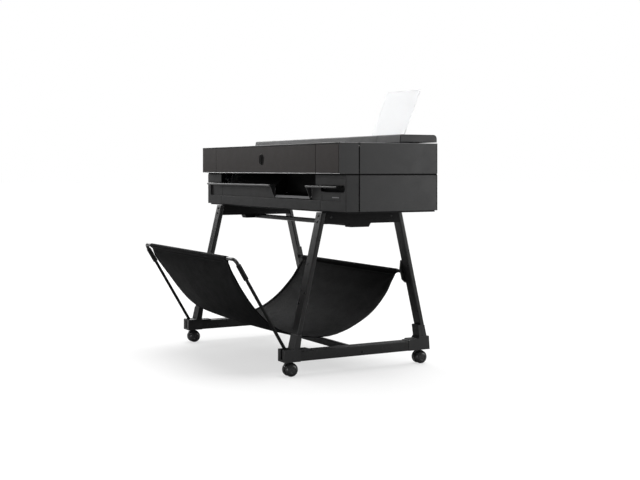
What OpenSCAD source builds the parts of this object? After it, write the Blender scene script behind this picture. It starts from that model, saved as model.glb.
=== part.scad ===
// Large format plotter on a wheeled stand with a fabric media bin.
// Millimetres. +Z is up, -Y is the front, X runs along the carriage travel.
// The origin is on the floor, under the middle of the whole machine.

/* [Body] */
// Overall width of the printer body
body_w = 1317; // [1250:1:1400]
// Front plane of the upper body
upper_front_y = -77.5; // [-82:0.5:-74]
// Front plane of the lower body
lower_front_y = -51; // [-53:0.5:-50]
// Rear plane of the body
rear_y = 373; // [370:1:376]
// Underside of the body covers
body_z = 637; // [636:1:638]
// Top edge of the lower covers
lower_top_z = 777; // [776:1:778]
// Bottom edge of the upper covers
upper_z = 783; // [782:1:784]
// Top deck of the body
deck_z = 903; // [902:1:905]
// Wall of the moulded covers
wall = 3; // [2.5:0.1:3.2]
// Where the front covers meet the side covers
seam_y = 10; // [8:1:12]
// Gap between neighbouring covers
seam_gap = 2; // [1.5:0.1:2.5]
// Gap between the front covers and the side covers
side_gap = 5; // [4:0.5:6]

/* [Covers] */
// Left seam of the upper front
upper_seam_left = -497; // [-499:1:-495]
// Right seam of the upper front
upper_seam_right = 470; // [468:1:472]
// Left seam of the lower front
lower_seam_left = -500; // [-502:1:-498]
// Right seam of the lower front
lower_seam_right = 460; // [458:1:462]
// Hinge line at the rear edge of the main cover
cover_hinge_y = 118; // [116:1:120]
// Front face of the roll cover
roll_cover_y = 200; // [199:1:202]
// Half width of the roll cover
roll_cover_half = 650; // [645:1:652]
// Top of the roll cover
roll_cover_top = 937; // [932:1:940]
// Seam between the roll cover and its fixed end
roll_seam = 479; // [475:1:483]
// Diameter of the blank badge disc
badge_d = 50; // [40:1:56]
// Middle of the badge disc
badge_x = -13; // [-60:1:60]

/* [Output] */
// Front edge of the output flaps
flap_front_y = -72.5; // [-74:0.5:-70]
// Outer end of both output flaps
flap_end = 620; // [616:1:622]
// Inner end of the left flap
gap_left = 52; // [45:1:60]
// Inner end of the right flap
gap_right = 371; // [365:1:378]
// Top of the output flaps
flap_top = 736; // [735:1:737]
// Thickness of the flap's front lip
flap_lip = 9; // [8:0.5:9.5]
// Ledge at the foot of the front recess
ledge_z = 677; // [675:1:679]
// Left end of the output slot
slot_left = -497; // [-498:1:-490]
// Right end of the output slot
slot_right = 406; // [400:1:412]

/* [Sheet support] */
// Left edge of the frosted sheet support
support_left = 190; // [180:1:200]
// Width of the sheet support
support_w = 256; // [245:1:262]
// Length of the sheet support
support_len = 206; // [190:1:207]
// Lean of the sheet support
support_lean = 23; // [20:1:23]

/* [Stand] */
// Distance of each leg frame from the middle
leg_x = 484; // [480:1:488]
// Width of the legs and beams
leg_w = 50; // [46:1:52]
// Depth of the flat leg tubes
leg_d = 19.5; // [18:0.5:20]
// Front face of the front legs at the underside of the body
front_leg_y = -67.5; // [-69:0.5:-66]
// Front face of the rear legs at the underside of the body
rear_leg_y = 282; // [281:0.5:283]
// Sideways run of the legs for each millimetre of height
leg_slope = 0.235; // [0.23:0.001:0.238]
// Wall of the steel tubes
tube_wall = 2; // [1.5:0.1:2.5]
// Underside of the foot beams
beam_z = 58; // [57:0.5:59]
// Height of the foot beams
beam_h = 40; // [38:1:41]
// Front end of the feet
foot_front = -235; // [-236:1:-234]
// Rear end of the feet
foot_rear = 439.5; // [439:0.5:441]
// Width of the foot blocks
foot_w = 60; // [58:1:62]

/* [Casters] */
// Front caster line
caster_front = -212; // [-214:1:-210]
// Rear caster line
caster_rear = 390; // [388:1:392]
// Wheel diameter
wheel_d = 53; // [52:0.5:53]
// Trail of the caster wheels behind their stems
caster_trail = 14; // [12:1:15]

/* [Media bin] */
// Pivot of the bin arms, from the front
pivot_y = -206; // [-207:0.5:-205]
// Pivot of the bin arms, above the floor
pivot_z = 82; // [81:0.5:83]
// Front rod of the bin, from the front
rod_front_y = -430; // [-431:0.5:-429]
// Front rod of the bin, above the floor
rod_front_z = 460; // [458:0.5:461]
// Rear rod of the bin, from the front
rod_rear_y = 344; // [342:0.5:345]
// Rear rod of the bin, above the floor
rod_rear_z = 378; // [376:0.5:380]
// Diameter of the bin tubes
rod_d = 14; // [13:0.5:14]
// Half width of the fabric sling
sling_half = 410; // [395:1:410]
// Thickness of the fabric sling
sling_t = 3; // [2:0.5:3]

/* [Hidden] */
$fn = 48;
eps = 0.01;
half_w = body_w / 2;
rounded = 3;
cover_hinge_z = deck_z - 1.5;
roll_cover_z = deck_z + 4;
rake = 2;
roll_hinge_y = rear_y - 5;
roll_hinge_z = roll_cover_z + 13;
support_y = rear_y - 17;
support_z = roll_cover_top + 3.5;
leg_in = leg_x - leg_w / 2;
leg_out = leg_x + leg_w / 2;
tray_z = body_z - 6;
bracket_z = 585;
drop_z = 570;
beam_top = beam_z + beam_h;
block_top = beam_z + 48;
heel_top = beam_top + 15;
boot_top = 160;
block_len = 68;
rear_block_y = foot_rear - 104;
crossbar_y = 105;
crossbar_d = 20;
arm_len = norm([rod_front_y - pivot_y, rod_front_z - pivot_z]);
arm_tilt = atan2(pivot_y - rod_front_y, rod_front_z - pivot_z);
web_y = lower_front_y + 8;
flap_hinge_y = web_y - 11;
flap_hinge_z = flap_top - 3;
left_ears = [slot_left + 8, gap_left - 16];
right_ears = [gap_right + 8, slot_right + 40];
ear_w = 6;
ink_bay = [486, 644];
door_x = [upper_seam_right + seam_gap / 2 + 3.5, half_w - wall - 1];
door_hinge_y = upper_front_y + 1.5;
door_hinge_z = upper_z + 5.2;
rail_y = 120;
rail_z = 850;
carriage_x = 540;
belt_z = 887;
belt_y = 94;
pulley_r = 5.5;
pulley_x = 614;
feed_y = 112;
feed_z = 784;
feed_r = 12;
pinch_r = 6;
pinch_z = feed_z + feed_r + pinch_r + 0.5;
feed_half = 470;
feed_pulley_x = -514;
feed_pulley_r = 14;
feed_motor_y = 60;
feed_motor_z = 735;
motor_pulley_r = 7;
spindle_y = 288;
spindle_z = 845;
spindle_r = 12;
hub_r = 24.5;
button_x = 628;
button_y = -45;
screen_x = [498, 604];
screen_y = [-62, 6];
// Depth and height of the sling's middle line, from the front rod to the rear rod
SLING = [[-434, 448], [-422, 420], [-400, 380], [-374, 336], [-344, 292], [-310, 248], [-272, 210],
         [-228, 178], [-178, 154], [-124, 138], [-68, 129], [-12, 125], [44, 129], [98, 143],
         [150, 167], [198, 199], [242, 238], [280, 281], [312, 324], [334, 358], [341, 367]];

// ---- Shared shapes ----

// Box from one corner to the other
module span(low, high) {
    translate(low) cube(high - low);
}

// Outline in Y and Z, extruded along X from x0 to x1
module along_x(x0, x1) {
    translate([x0, 0, 0]) rotate([90, 0, 90]) linear_extrude(x1 - x0) children();
}

// Rod along X
module rod_x(x0, x1, y, z, r) {
    translate([x0, y, z]) rotate([0, 90, 0]) cylinder(h = x1 - x0, r = r);
}

// Rod along Y
module rod_y(y0, y1, x, z, r) {
    translate([x, y1, z]) rotate([90, 0, 0]) cylinder(h = y1 - y0, r = r);
}

// Points of a quarter round about c
function corner(c, r, a0, a1, n = 6) = [for (i = [0:n]) c + r * [cos(a0 + (a1 - a0) * i / n),
                                                              sin(a0 + (a1 - a0) * i / n)]];

// Outline of a rounded rectangle centred on the origin
function rounded_rect(w, h, r) = concat(
    corner([w / 2 - r, h / 2 - r], r, 0, 90), corner([r - w / 2, h / 2 - r], r, 90, 180),
    corner([r - w / 2, r - h / 2], r, 180, 270), corner([w / 2 - r, r - h / 2], r, 270, 360));

// Both sides of the stand
module both_sides() {
    for (side = [0, 1]) mirror([side, 0, 0]) children();
}

// ---- Printer body ----

module base_tray() {
    color("dimgray") difference() {
        union() {
            span([-half_w + 10, lower_front_y + 12, tray_z], [half_w - 10, rear_y - 6, body_z]);
            for (x = [-half_w + 10, half_w - 14])
                span([x, lower_front_y + 27, body_z], [x + 4, rear_y - 6, body_z + 30]);
        }
        for (i = [-9:9]) span([i * 46 - 15, 210, tray_z - 1], [i * 46 + 15, 216, body_z + 1]);
    }
}

// Middle of the lower front: a plain band, a ledge, and the wall of the long recess
module lower_fascia() {
    x0 = lower_seam_left + seam_gap / 2;
    x1 = lower_seam_right - seam_gap / 2;
    color("#2c2c2e") {
        along_x(x0, x1) polygon(concat(
            [[lower_front_y + 20, body_z], [lower_front_y + 20, body_z + wall],
             [lower_front_y + wall, body_z + wall], [lower_front_y + wall, ledge_z - wall],
             [web_y, ledge_z - wall], [web_y, ledge_z]],
            corner([lower_front_y + 2, ledge_z - 2], 2, 90, 180, 3),
            corner([lower_front_y + 2, body_z + 2], 2, 180, 270, 3)));
        for (x = [[x0, gap_left - 4], [gap_right + 4, x1]])
            span([x[0], web_y, ledge_z - wall], [x[1], web_y + wall, flap_top - flap_lip - 1]);
        span([slot_right + 2, web_y, flap_top - flap_lip - 1], [x1, web_y + wall, lower_top_z]);
        for (x = concat(left_ears, right_ears)) flap_ear(x);
    }
}

// Bored ear that carries the hinge pin of an output flap
module flap_ear(x) {
    difference() {
        union() {
            rod_x(x, x + ear_w, flap_hinge_y, flap_hinge_z, 4.4);
            span([x, flap_hinge_y, ledge_z], [x + ear_w, web_y + wall, flap_hinge_z]);
        }
        rod_x(x - 1, x + ear_w + 1, flap_hinge_y, flap_hinge_z, 2.8);
        span([x - 1, flap_hinge_y - 1, ledge_z - 1], [x + ear_w + 1, web_y, flap_hinge_z - 6]);
    }
}

// Corner moulding of the lower front: front face, outer side return and bottom flange
module lower_corner(x_in) {
    color("#2c2c2e") difference() {
        translate([0, 0, body_z]) linear_extrude(lower_top_z - body_z) polygon(concat(
            [[x_in, lower_front_y]],
            corner([half_w - 4, lower_front_y + 4], 4, -90, 0),
            [[half_w, seam_y - side_gap / 2], [half_w - wall, seam_y - side_gap / 2]],
            [[half_w - wall, lower_front_y + 24], [x_in, lower_front_y + 24]]));
        span([x_in - 1, lower_front_y + 21, body_z + wall],
             [half_w - wall - 3, lower_front_y + 30, lower_top_z + 1]);
        span([x_in + wall, lower_front_y + 18 + wall, body_z + wall],
             [half_w - 10, lower_front_y + 40, lower_top_z + 1]);
        children();
    }
}

module lower_left_end_cover() {
    mirror([1, 0, 0]) lower_corner(-lower_seam_left + seam_gap / 2)
        span([400, lower_front_y - 1, ledge_z], [flap_end + 4, web_y, flap_top + 3]);
}

module lower_right_end_cover() {
    lower_corner(lower_seam_right + seam_gap / 2) {
        span([400, lower_front_y - 1, ledge_z], [625, web_y, 712]);
        span([400, lower_front_y - 1, flap_top - 1], [652, lower_front_y + 3, 767]);
        hand_pocket();
    }
}

// Black hand pocket with a rounded end, behind the right end of the flap
module hand_pocket() {
    high = flap_top + 2;
    r = (high - 711) / 2;
    span([400, lower_front_y - 1, 711], [652 - r, lower_front_y + 17, high]);
    rod_y(lower_front_y - 1, lower_front_y + 17, 652 - r, high - r, r);
}

module lower_side_cover(side) {
    color("#333335") mirror([side, 0, 0]) {
        span([half_w - wall, seam_y + side_gap / 2, body_z], [half_w, rear_y - wall - 1, lower_top_z]);
        span([half_w - 10 + wall, seam_y + side_gap / 2, body_z],
             [half_w - wall, rear_y - wall - 1, body_z + wall]);
    }
}

module left_lower_side_cover() {
    lower_side_cover(1);
}

module right_lower_side_cover() {
    lower_side_cover(0);
}

// Corner cut away along the top outer edge of the upper body, to round it
module top_edge_cut() {
    r = 2.6;
    translate([0, rear_y, 0]) rotate([90, 0, 0]) linear_extrude(rear_y - upper_front_y + 10)
        polygon(concat(corner([half_w - r, deck_z - r], r, 0, 90),
                       [[half_w - r, deck_z + 1], [half_w + 1, deck_z + 1], [half_w + 1, deck_z - r]]));
}

module upper_side_cover(side) {
    color("#333335") mirror([side, 0, 0]) difference() {
        union() {
            span([half_w - wall, seam_y + side_gap / 2, upper_z],
                 [half_w, rear_y - wall - 1, deck_z - wall]);
            span([half_w - 11, cover_hinge_y + 4, deck_z - wall], [half_w, rear_y - wall - 1, deck_z]);
        }
        top_edge_cut();
    }
}

module left_upper_side_cover() {
    upper_side_cover(1);
}

module right_upper_side_cover() {
    upper_side_cover(0);
}

// Front wall, top deck and bottom flange of the upper body as one bent outline
module front_shell(back_y) {
    y = upper_front_y;
    polygon(concat(
        corner([y + rounded, deck_z - rounded], rounded, 180, 90, 4),
        [[back_y, deck_z], [back_y, deck_z - wall], [y + wall, deck_z - wall],
         [y + wall, upper_z + wall], [y + 22, upper_z + wall], [y + 22, upper_z], [y + 2, upper_z],
         [y, upper_z + 2]]));
}

// Side return of the upper front covers, from y0 to the side covers
module upper_return(y0) {
    span([half_w - wall, y0, upper_z], [half_w, seam_y - side_gap / 2, deck_z - wall + eps]);
}

module upper_left_end_cover() {
    color("#35302f") mirror([1, 0, 0]) difference() {
        union() {
            along_x(-upper_seam_left + seam_gap / 2, half_w) front_shell(cover_hinge_y + 2);
            upper_return(upper_front_y + wall - eps);
        }
        top_edge_cut();
    }
}

// Outline of the right end: top deck, a wall set back behind the ink door, and a bottom lip
module door_shell(back_y) {
    y = upper_front_y;
    polygon(concat(
        corner([y + rounded, deck_z - rounded], rounded, 180, 90, 4),
        [[back_y, deck_z], [back_y, deck_z - wall], [y + 7, deck_z - wall], [y + 7, upper_z + wall],
         [y + 22, upper_z + wall], [y + 22, upper_z], [y + 1, upper_z], [y, upper_z + 1],
         [y, upper_z + 2.4], [y + 4, upper_z + 2.4], [y + 4, deck_z - wall]]));
}

// Right end of the upper front, with the door bay and seats for the screen, button and hinge pins
module upper_right_end_cover() {
    x0 = upper_seam_right + seam_gap / 2;
    color("#35302f") difference() {
        union() {
            along_x(x0, half_w) door_shell(cover_hinge_y + 2);
            upper_return(upper_front_y);
            span([x0, upper_front_y, upper_z + 2], [x0 + 2.5, upper_front_y + 5, deck_z - wall + eps]);
        }
        span([ink_bay[0], upper_front_y + 3, upper_z + 8],
             [ink_bay[1], upper_front_y + 8, deck_z - 12]);
        span([screen_x[0], screen_y[0], deck_z - 2], [screen_x[1], screen_y[1], deck_z + 1]);
        translate([button_x, button_y, deck_z - 6]) cylinder(h = 8, r = 8.5);
        top_edge_cut();
        rod_x(x0 + 0.8, door_x[0] + 1, door_hinge_y, door_hinge_z, 1.2);
        rod_x(door_x[1], half_w - 1.2, door_hinge_y, door_hinge_z, 1.2);
    }
}

// Plate with a round lower edge on its hinge line, a pin at each end and a stiffening frame
module ink_door() {
    color("#35302f") {
        span([door_x[0], upper_front_y, door_hinge_z], [door_x[1], upper_front_y + wall, deck_z - wall - 0.6]);
        rod_x(door_x[0], door_x[1], door_hinge_y, door_hinge_z, 1.5);
        rod_x(door_x[0] - 2, door_x[1] + 2.4, door_hinge_y, door_hinge_z, 0.9);
        difference() {
            span([ink_bay[0] + 2, upper_front_y + wall, upper_z + 16],
                 [ink_bay[1] - 2, upper_front_y + wall + 2.5, deck_z - 16]);
            span([ink_bay[0] + 5, upper_front_y + wall - 1, upper_z + 19],
                 [ink_bay[1] - 5, upper_front_y + wall + 4, deck_z - 19]);
        }
    }
}

module ink_cartridges() {
    shades = ["#1b1b1b", "#1f6f93", "#93306a", "#a8922c"];
    for (i = [0:3]) color(shades[i]) {
        x = ink_bay[0] + 6 + i * 37;
        span([x, upper_front_y + 14, upper_z + 20], [x + 33, 19, deck_z - 34]);
        span([x + 8, upper_front_y + 8, upper_z + 40], [x + 25, upper_front_y + 14, deck_z - 54]);
    }
}

module touch_screen() {
    color("#101214") span([screen_x[0] + 0.5, screen_y[0] + 0.5, deck_z - 2],
                          [screen_x[1] - 0.5, screen_y[1] - 0.5, deck_z + 0.8]);
}

module power_button() {
    color("silver") translate([button_x, button_y, deck_z - 9]) {
        cylinder(h = 10.5, r = 7.6);
        cylinder(h = 3.4, r = 10);
    }
}

module roll_bay_deck() {
    color("#2c2c2e") {
        difference() {
            span([-half_w + 12, cover_hinge_y + 4, deck_z - wall], [half_w - 12, rear_y - wall - 1, deck_z]);
            span([-feed_half, roll_cover_y + 8, deck_z - 5], [feed_half, rear_y - 26, deck_z + 1]);
        }
        difference() {
            along_x(-roll_cover_half + 6, -roll_cover_half + 10) polygon(concat(
                [[roll_hinge_y - 24, deck_z - eps]],
                corner([roll_hinge_y, roll_hinge_z], 4.4, 135, -45, 10),
                [[roll_hinge_y - 15, deck_z - eps]]));
            rod_x(-roll_cover_half, 0, roll_hinge_y, roll_hinge_z, 2.9);
        }
    }
}

module rear_cover() {
    color("#333335") difference() {
        union() {
            span([-half_w, rear_y - wall, body_z], [half_w, rear_y, lower_top_z]);
            span([-half_w + 1, rear_y - wall, lower_top_z], [half_w - 1, rear_y - 1, upper_z]);
            span([-half_w, rear_y - wall, upper_z], [half_w, rear_y, deck_z]);
        }
        span([-584, rear_y - 6, 676], [-536, rear_y + 1, 704]);
        span([380, rear_y - 6, 672], [470, rear_y + 1, 700]);
        for (i = [0:13]) span([-480 + i * 14, rear_y - 6, 660], [-474 + i * 14, rear_y + 1, 740]);
        for (i = [0:9]) span([180 + i * 14, rear_y - 6, 660], [186 + i * 14, rear_y + 1, 740]);
    }
}

// ---- Roll cover ----

// Outline of the roll cover: slightly raked front, flat top and a rounded rear corner
module roll_outline() {
    polygon(concat(
        corner([roll_cover_y + rake + 5, roll_cover_top - 5], 5, 180, 90, 4),
        corner([rear_y + 3 - 16, roll_cover_top - 16], 16, 90, 0, 8),
        [[rear_y + 3, roll_cover_z], [rear_y + 3 - wall, roll_cover_z]],
        corner([rear_y - 13, roll_cover_top - 16], 13, 0, 90, 8),
        corner([roll_cover_y + rake + 5, roll_cover_top - 5], 5 - wall, 90, 180, 4),
        [[roll_cover_y + wall - rake, roll_cover_z], [roll_cover_y - rake, roll_cover_z]]));
}

module roll_end_wall(x) {
    along_x(x, x + wall) polygon(concat(
        corner([roll_cover_y + rake + 5, roll_cover_top - 5], 4, 180, 90, 4),
        corner([rear_y - 13, roll_cover_top - 16], 15, 90, 0, 8),
        [[rear_y + 2, roll_cover_z + 1], [roll_cover_y - rake + 1, roll_cover_z + 1]]));
}

module roll_cover() {
    color("#38383a") {
        difference() {
            union() {
                along_x(-roll_cover_half, roll_seam - seam_gap / 2) roll_outline();
                roll_end_wall(-roll_cover_half);
                roll_end_wall(roll_seam - seam_gap / 2 - wall);
            }
            span([-60, roll_cover_y - 4, roll_cover_z - 1], [40, roll_cover_y + 12, roll_cover_z + 9]);
            span([-roll_cover_half + wall + 1, rear_y - 1, roll_cover_z - 1],
                 [-roll_cover_half + 12, rear_y + 4, roll_hinge_z + 2]);
        }
        rod_x(-roll_cover_half + wall, -roll_cover_half + 12, roll_hinge_y, roll_hinge_z, 2.5);
        rod_x(roll_seam - seam_gap / 2, roll_seam + seam_gap / 2 + wall + 1, roll_hinge_y, roll_hinge_z, 2.5);
        for (x = [support_left + 14, support_left + support_w - 22]) support_ear(x);
    }
}

// Ears on the roll cover that carry the sheet support
module support_ear(x) {
    for (dx = [-6.5, 8.5])
        along_x(x + dx, x + dx + 6) polygon(concat(
            [[support_y - 4, roll_cover_top - 1]],
            corner([support_y, support_z], 4, 180, 0, 8),
            [[support_y + 4, roll_cover_top - 1]]));
}

module roll_end_cover() {
    color("#38383a") {
        along_x(roll_seam + seam_gap / 2, roll_cover_half) roll_outline();
        difference() {
            roll_end_wall(roll_seam + seam_gap / 2);
            rod_x(roll_seam, roll_seam + 9, roll_hinge_y, roll_hinge_z, 2.9);
        }
        roll_end_wall(roll_cover_half - wall);
        for (x = [roll_seam + 20, roll_cover_half - 40])
            span([x, roll_cover_y + 20, deck_z], [x + 12, roll_cover_y + 32, roll_cover_top - wall]);
    }
}

// Frosted plate that folds up behind the roll cover, with two pivot pins
module sheet_support() {
    color("#f2f4f5", 0.9) translate([support_left, support_y, support_z]) rotate([-support_lean, 0, 0]) {
        translate([support_w / 2, 1.2, support_len / 2 + 5.5]) rotate([90, 0, 0]) linear_extrude(2.4)
            polygon(rounded_rect(support_w, support_len, 8));
        for (x = [14.3, support_w - 21.7]) {
            rotate([0, 90, 0]) translate([0, 0, x]) cylinder(h = 7.4, r = 2.6);
            span([x, -1.2, 0], [x + 7.4, 1.2, 14]);
        }
    }
}

// ---- Main cover ----

module main_cover() {
    x0 = upper_seam_left + seam_gap / 2;
    x1 = upper_seam_right - seam_gap / 2;
    color("#322d2c") {
        difference() {
            along_x(x0, x1) front_shell(cover_hinge_y);
            badge_seat(1.2);
        }
        rod_x(x0, x1, cover_hinge_y, cover_hinge_z, wall / 2);
        for (x = [x0 + 6, x1 - 26])
            span([x, cover_hinge_y - 14, deck_z - 10], [x + 20, cover_hinge_y, deck_z - wall]);
        for (i = [-3:3])
            span([i * 130 - 16, upper_front_y + wall, deck_z - 7],
                 [i * 130 - 13, cover_hinge_y - 20, deck_z - wall]);
    }
}

module badge_seat(depth) {
    rod_y(upper_front_y - 1, upper_front_y + depth, badge_x, 842, badge_d / 2);
}

module cover_badge() {
    color("#141414") rod_y(upper_front_y - 0.6, upper_front_y + 1.2, badge_x, 842, badge_d / 2 - 0.4);
}

// ---- Output ----

// Flap: a lipped shelf on a hinge pin, with a gusset at its inner end
module output_flap(x0, x1, gusset_x, ears) {
    under = flap_top - flap_lip;
    color("#2a2a2c") {
        difference() {
            along_x(x0, x1) polygon(concat(
                corner([flap_front_y + 4, flap_top - 4], 4, 180, 90, 4),
                [[web_y - 3, flap_top], [web_y - 3, flap_top - 4], [flap_front_y + 7, flap_top - 4],
                 [flap_front_y + 7, under + 1]],
                corner([flap_front_y + 4, under + 4], 4, 270, 180, 4)));
            for (x = ears) span([x - 1, flap_hinge_y - 6, under], [x + ear_w + 1, web_y, flap_top + 1]);
        }
        rod_x(ears[0] - 2, ears[1] + ear_w + 2, flap_hinge_y, flap_hinge_z, 2.4);
        along_x(gusset_x, gusset_x + 3) polygon([
            [flap_front_y + 4, under + 2], [web_y - 3, under + 6], [web_y - 3, ledge_z + 3],
            [web_y - 6, ledge_z + 3]]);
    }
}

module output_flap_left() {
    output_flap(-flap_end, gap_left, gap_left - 3, left_ears);
}

module output_flap_right() {
    output_flap(gap_right, flap_end, gap_right, right_ears);
}

// Slope that carries the print from the platen out of the slot, with a scoop in the gap
module output_ramp() {
    x0 = slot_left + 4;
    x1 = slot_right - 4;
    color("#161617") {
        for (x = [[x0, gap_left - 4], [gap_right + 4, x1]])
            along_x(x[0], x[1]) polygon([
                [20, 788], [20, 784], [web_y + 11, flap_top - 14], [web_y + 5, flap_top - 14],
                [web_y + 5, flap_top - 8]]);
        along_x(gap_left - 4, gap_right + 4)
            polygon([[18, 788], [18, 700], [-24, 692], [web_y + 5, ledge_z + 13],
                     [web_y + 5, ledge_z + 1], [20, 692], [22, 788]]);
        along_x(gap_left + 1, gap_right - 1) polygon([
            [web_y + 5, ledge_z + 13], [web_y - 5, ledge_z + 3.5], [web_y - 5, ledge_z + 1],
            [web_y + 5, ledge_z + 1]]);
        for (x = [gap_left - 7, gap_right + 4])
            along_x(x, x + 3) polygon([[20, 786], [20, 703], [web_y + 6, ledge_z + 4],
                                       [web_y + 6, flap_top - 11]]);
    }
}

// ---- Inside ----

module chassis() {
    color("lightslategray") difference() {
        union() {
            for (x = [-half_w + 22, half_w - 26])
                span([x, 30, body_z], [x + 4, 350, deck_z - 12]);
            span([-half_w + 26, 150, body_z], [half_w - 26, 180, body_z + 40]);
            for (side = [-1, 1]) translate([side * 508 - 2, 0, 0])
                span([0, 200, body_z], [4, 350, deck_z - 20]);
            for (side = [-1, 1]) translate([side * 508 - 2, 0, 0])
                span([0, 20, body_z], [4, 150, feed_z + 24]);
        }
        rod_x(-half_w, half_w, spindle_y, spindle_z, spindle_r + 0.4);
        span([-520, spindle_y - spindle_r - 0.4, spindle_z], [520, spindle_y + spindle_r + 0.4, deck_z]);
        rod_x(-520, 520, feed_y, feed_z, 6.4);
        rod_x(-520, 520, feed_y, pinch_z, 3.4);
        span([480, 30, 740], [520, 106, feed_z + 30]);
    }
}

module platen() {
    color("#1d1d1f") {
        difference() {
            span([-feed_half - 30, 24, 788], [feed_half + 8, 98, 794]);
            for (i = [-23:23]) span([i * 20 - 6, 40, 792], [i * 20 + 6, 84, 795]);
        }
        for (x = [-feed_half - 30, feed_half + 4])
            span([x, 30, body_z + 42], [x + 4, 90, 788]);
    }
}

// Guide rod, its stiffening beam and the position strip in front of it
module carriage_rail() {
    x = half_w - 26;
    color("silver") rod_x(-x, x, rail_y, rail_z, 8);
    color("slategray") {
        span([-x, 142, 826], [x, 148, 884]);
        span([pulley_x - 8, 140, 880], [pulley_x + 8, 148, 895]);
        rod_y(belt_y - 5, 140, pulley_x, belt_z, 1.4);
    }
    color("white") span([-x, 139, 862], [x, 139.6, 872]);
}

module carriage() {
    color("#232325") difference() {
        union() {
            span([carriage_x - 55, 36, 816], [carriage_x + 55, 137, 876]);
            span([carriage_x - 45, 42, 799], [carriage_x + 45, 92, 816]);
            span([carriage_x - 12, belt_y - 5, 876], [carriage_x + 12, belt_y + 5, 879]);
        }
        rod_x(carriage_x - 60, carriage_x + 60, rail_y, rail_z, 8.4);
    }
    for (i = [0:3]) color(["#1b1b1b", "#1f6f93", "#93306a", "#a8922c"][i])
        span([carriage_x - 44 + i * 22, 46, 876], [carriage_x - 26 + i * 22, 84, 884]);
}

// Loop of belt around two pulleys, in its own X and Z
module belt_loop(span_x, r0, r1, thick) {
    difference() {
        stadium(span_x, r0 + thick, r1 + thick);
        stadium(span_x, r0, r1);
    }
}

// Outline around two circles that lie span_x apart
module stadium(span_x, r0, r1) {
    a = acos((r0 - r1) / span_x);
    polygon(concat(corner([0, 0], r0, a, 360 - a, 24), corner([span_x, 0], r1, -a, a, 24)));
}

module timing_belts() {
    color("#0c0c0c") {
        translate([-pulley_x, belt_y + 3, belt_z]) rotate([90, 0, 0]) linear_extrude(6)
            belt_loop(2 * pulley_x, pulley_r + 0.4, pulley_r + 0.4, 1.2);
        drop = [feed_motor_y - feed_y, feed_motor_z - feed_z];
        translate([feed_pulley_x - 12, feed_y, feed_z - 0.4]) rotate([atan2(drop[1], drop[0]), 0, 0])
            rotate([90, 0, 90]) linear_extrude(6)
            belt_loop(norm(drop), feed_pulley_r + 0.4, motor_pulley_r + 0.4, 1.2);
    }
}

module drive_motors() {
    color("gray") {
        rod_y(belt_y + 8, belt_y + 42, -pulley_x, belt_z, 12);
        rod_y(belt_y - 5, belt_y + 8, -pulley_x, belt_z, 1.4);
        rod_x(feed_pulley_x - 60, feed_pulley_x - 16, feed_motor_y, feed_motor_z, 21);
        rod_x(feed_pulley_x - 16, feed_pulley_x - 14, feed_motor_y, feed_motor_z, 7);
        rod_x(feed_pulley_x - 14, feed_pulley_x - 4, feed_motor_y, feed_motor_z, motor_pulley_r);
    }
}

module pulley(x) {
    color("silver") difference() {
        rod_y(belt_y - 4, belt_y + 4, x, belt_z, pulley_r);
        rod_y(belt_y - 5, belt_y + 5, x, belt_z, 1.5);
    }
}

module motor_pulley() {
    pulley(-pulley_x);
}

module idler_pulley() {
    pulley(pulley_x);
}

module feed_roller() {
    color("#4b4b4e") {
        rod_x(-feed_half + 4, feed_half - 4, feed_y, feed_z - 0.4, feed_r);
        rod_x(-feed_half - 26, -feed_half + 4, feed_y, feed_z - 0.4, 6);
        rod_x(feed_pulley_x - 14, -feed_half - 26, feed_y, feed_z - 0.4, 6);
        rod_x(feed_pulley_x - 13, feed_pulley_x - 5, feed_y, feed_z - 0.4, feed_pulley_r);
        rod_x(feed_half - 4, 516, feed_y, feed_z - 0.4, 6);
    }
}

module pinch_rollers() {
    color("#5d5d60") {
        rod_x(-514, 514, feed_y, pinch_z, 3);
        for (i = [0:9]) translate([-432 + i * 96, feed_y, pinch_z]) rotate([0, 90, 0])
            difference() {
                translate([0, 0, -16]) cylinder(h = 32, r = pinch_r);
                translate([0, 0, -17]) cylinder(h = 34, r = 3);
            }
    }
}

// Spindle for the paper roll, with its two hubs
module roll_spindle() {
    color("#202022") rod_x(-514, 514, spindle_y, spindle_z, spindle_r);
    color("#2a5f86") for (side = [0, 1]) mirror([side, 0, 0]) difference() {
        union() {
            rod_x(410, 452, spindle_y, spindle_z, hub_r);
            rod_x(452, 458, spindle_y, spindle_z, 44);
        }
        rod_x(409, 459, spindle_y, spindle_z, spindle_r);
    }
}

module service_station() {
    color("#3c3c40") difference() {
        span([484, 34, 744], [600, 102, 796]);
        for (i = [0:3]) span([495 + i * 22, 44, 788], [513 + i * 22, 92, 797]);
    }
}

module main_board() {
    color("darkgreen") span([200, 352, 655], [500, 354, 860]);
    color("#9a9a9a") {
        span([384, 354, 674], [402, 372, 698]);
        span([410, 354, 674], [428, 372, 688]);
        span([436, 354, 674], [466, 372, 688]);
    }
    color("#222222") for (i = [0:3]) span([230 + i * 60, 344, 740], [262 + i * 60, 352, 772]);
}

module power_supply() {
    color("silver") difference() {
        span([-500, 200, body_z], [-320, 345, body_z + 62]);
        for (i = [0:9]) span([-485 + i * 16, 199, body_z + 16], [-477 + i * 16, 203, body_z + 48]);
    }
}

module power_inlet() {
    color("#0e0e0e") difference() {
        union() {
            span([-583.5, rear_y - 24, 676.5], [-536.5, rear_y, 703.5]);
            span([-588, rear_y, 673], [-532, rear_y + 1.6, 707]);
        }
        span([-574, rear_y - 16, 681], [-546, rear_y + 2, 699]);
    }
    color("silver") for (x = [-567, -560, -553])
        span([x - 1, rear_y - 16, 688], [x + 1, rear_y - 4, 692]);
}

// ---- Stand ----

// Front face of a front leg at height z
function front_leg_at(z) = front_leg_y - leg_slope * (body_z - z);

// Front face of a rear leg at height z
function rear_leg_at(z) = rear_leg_y + leg_slope * (body_z - z);

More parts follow.
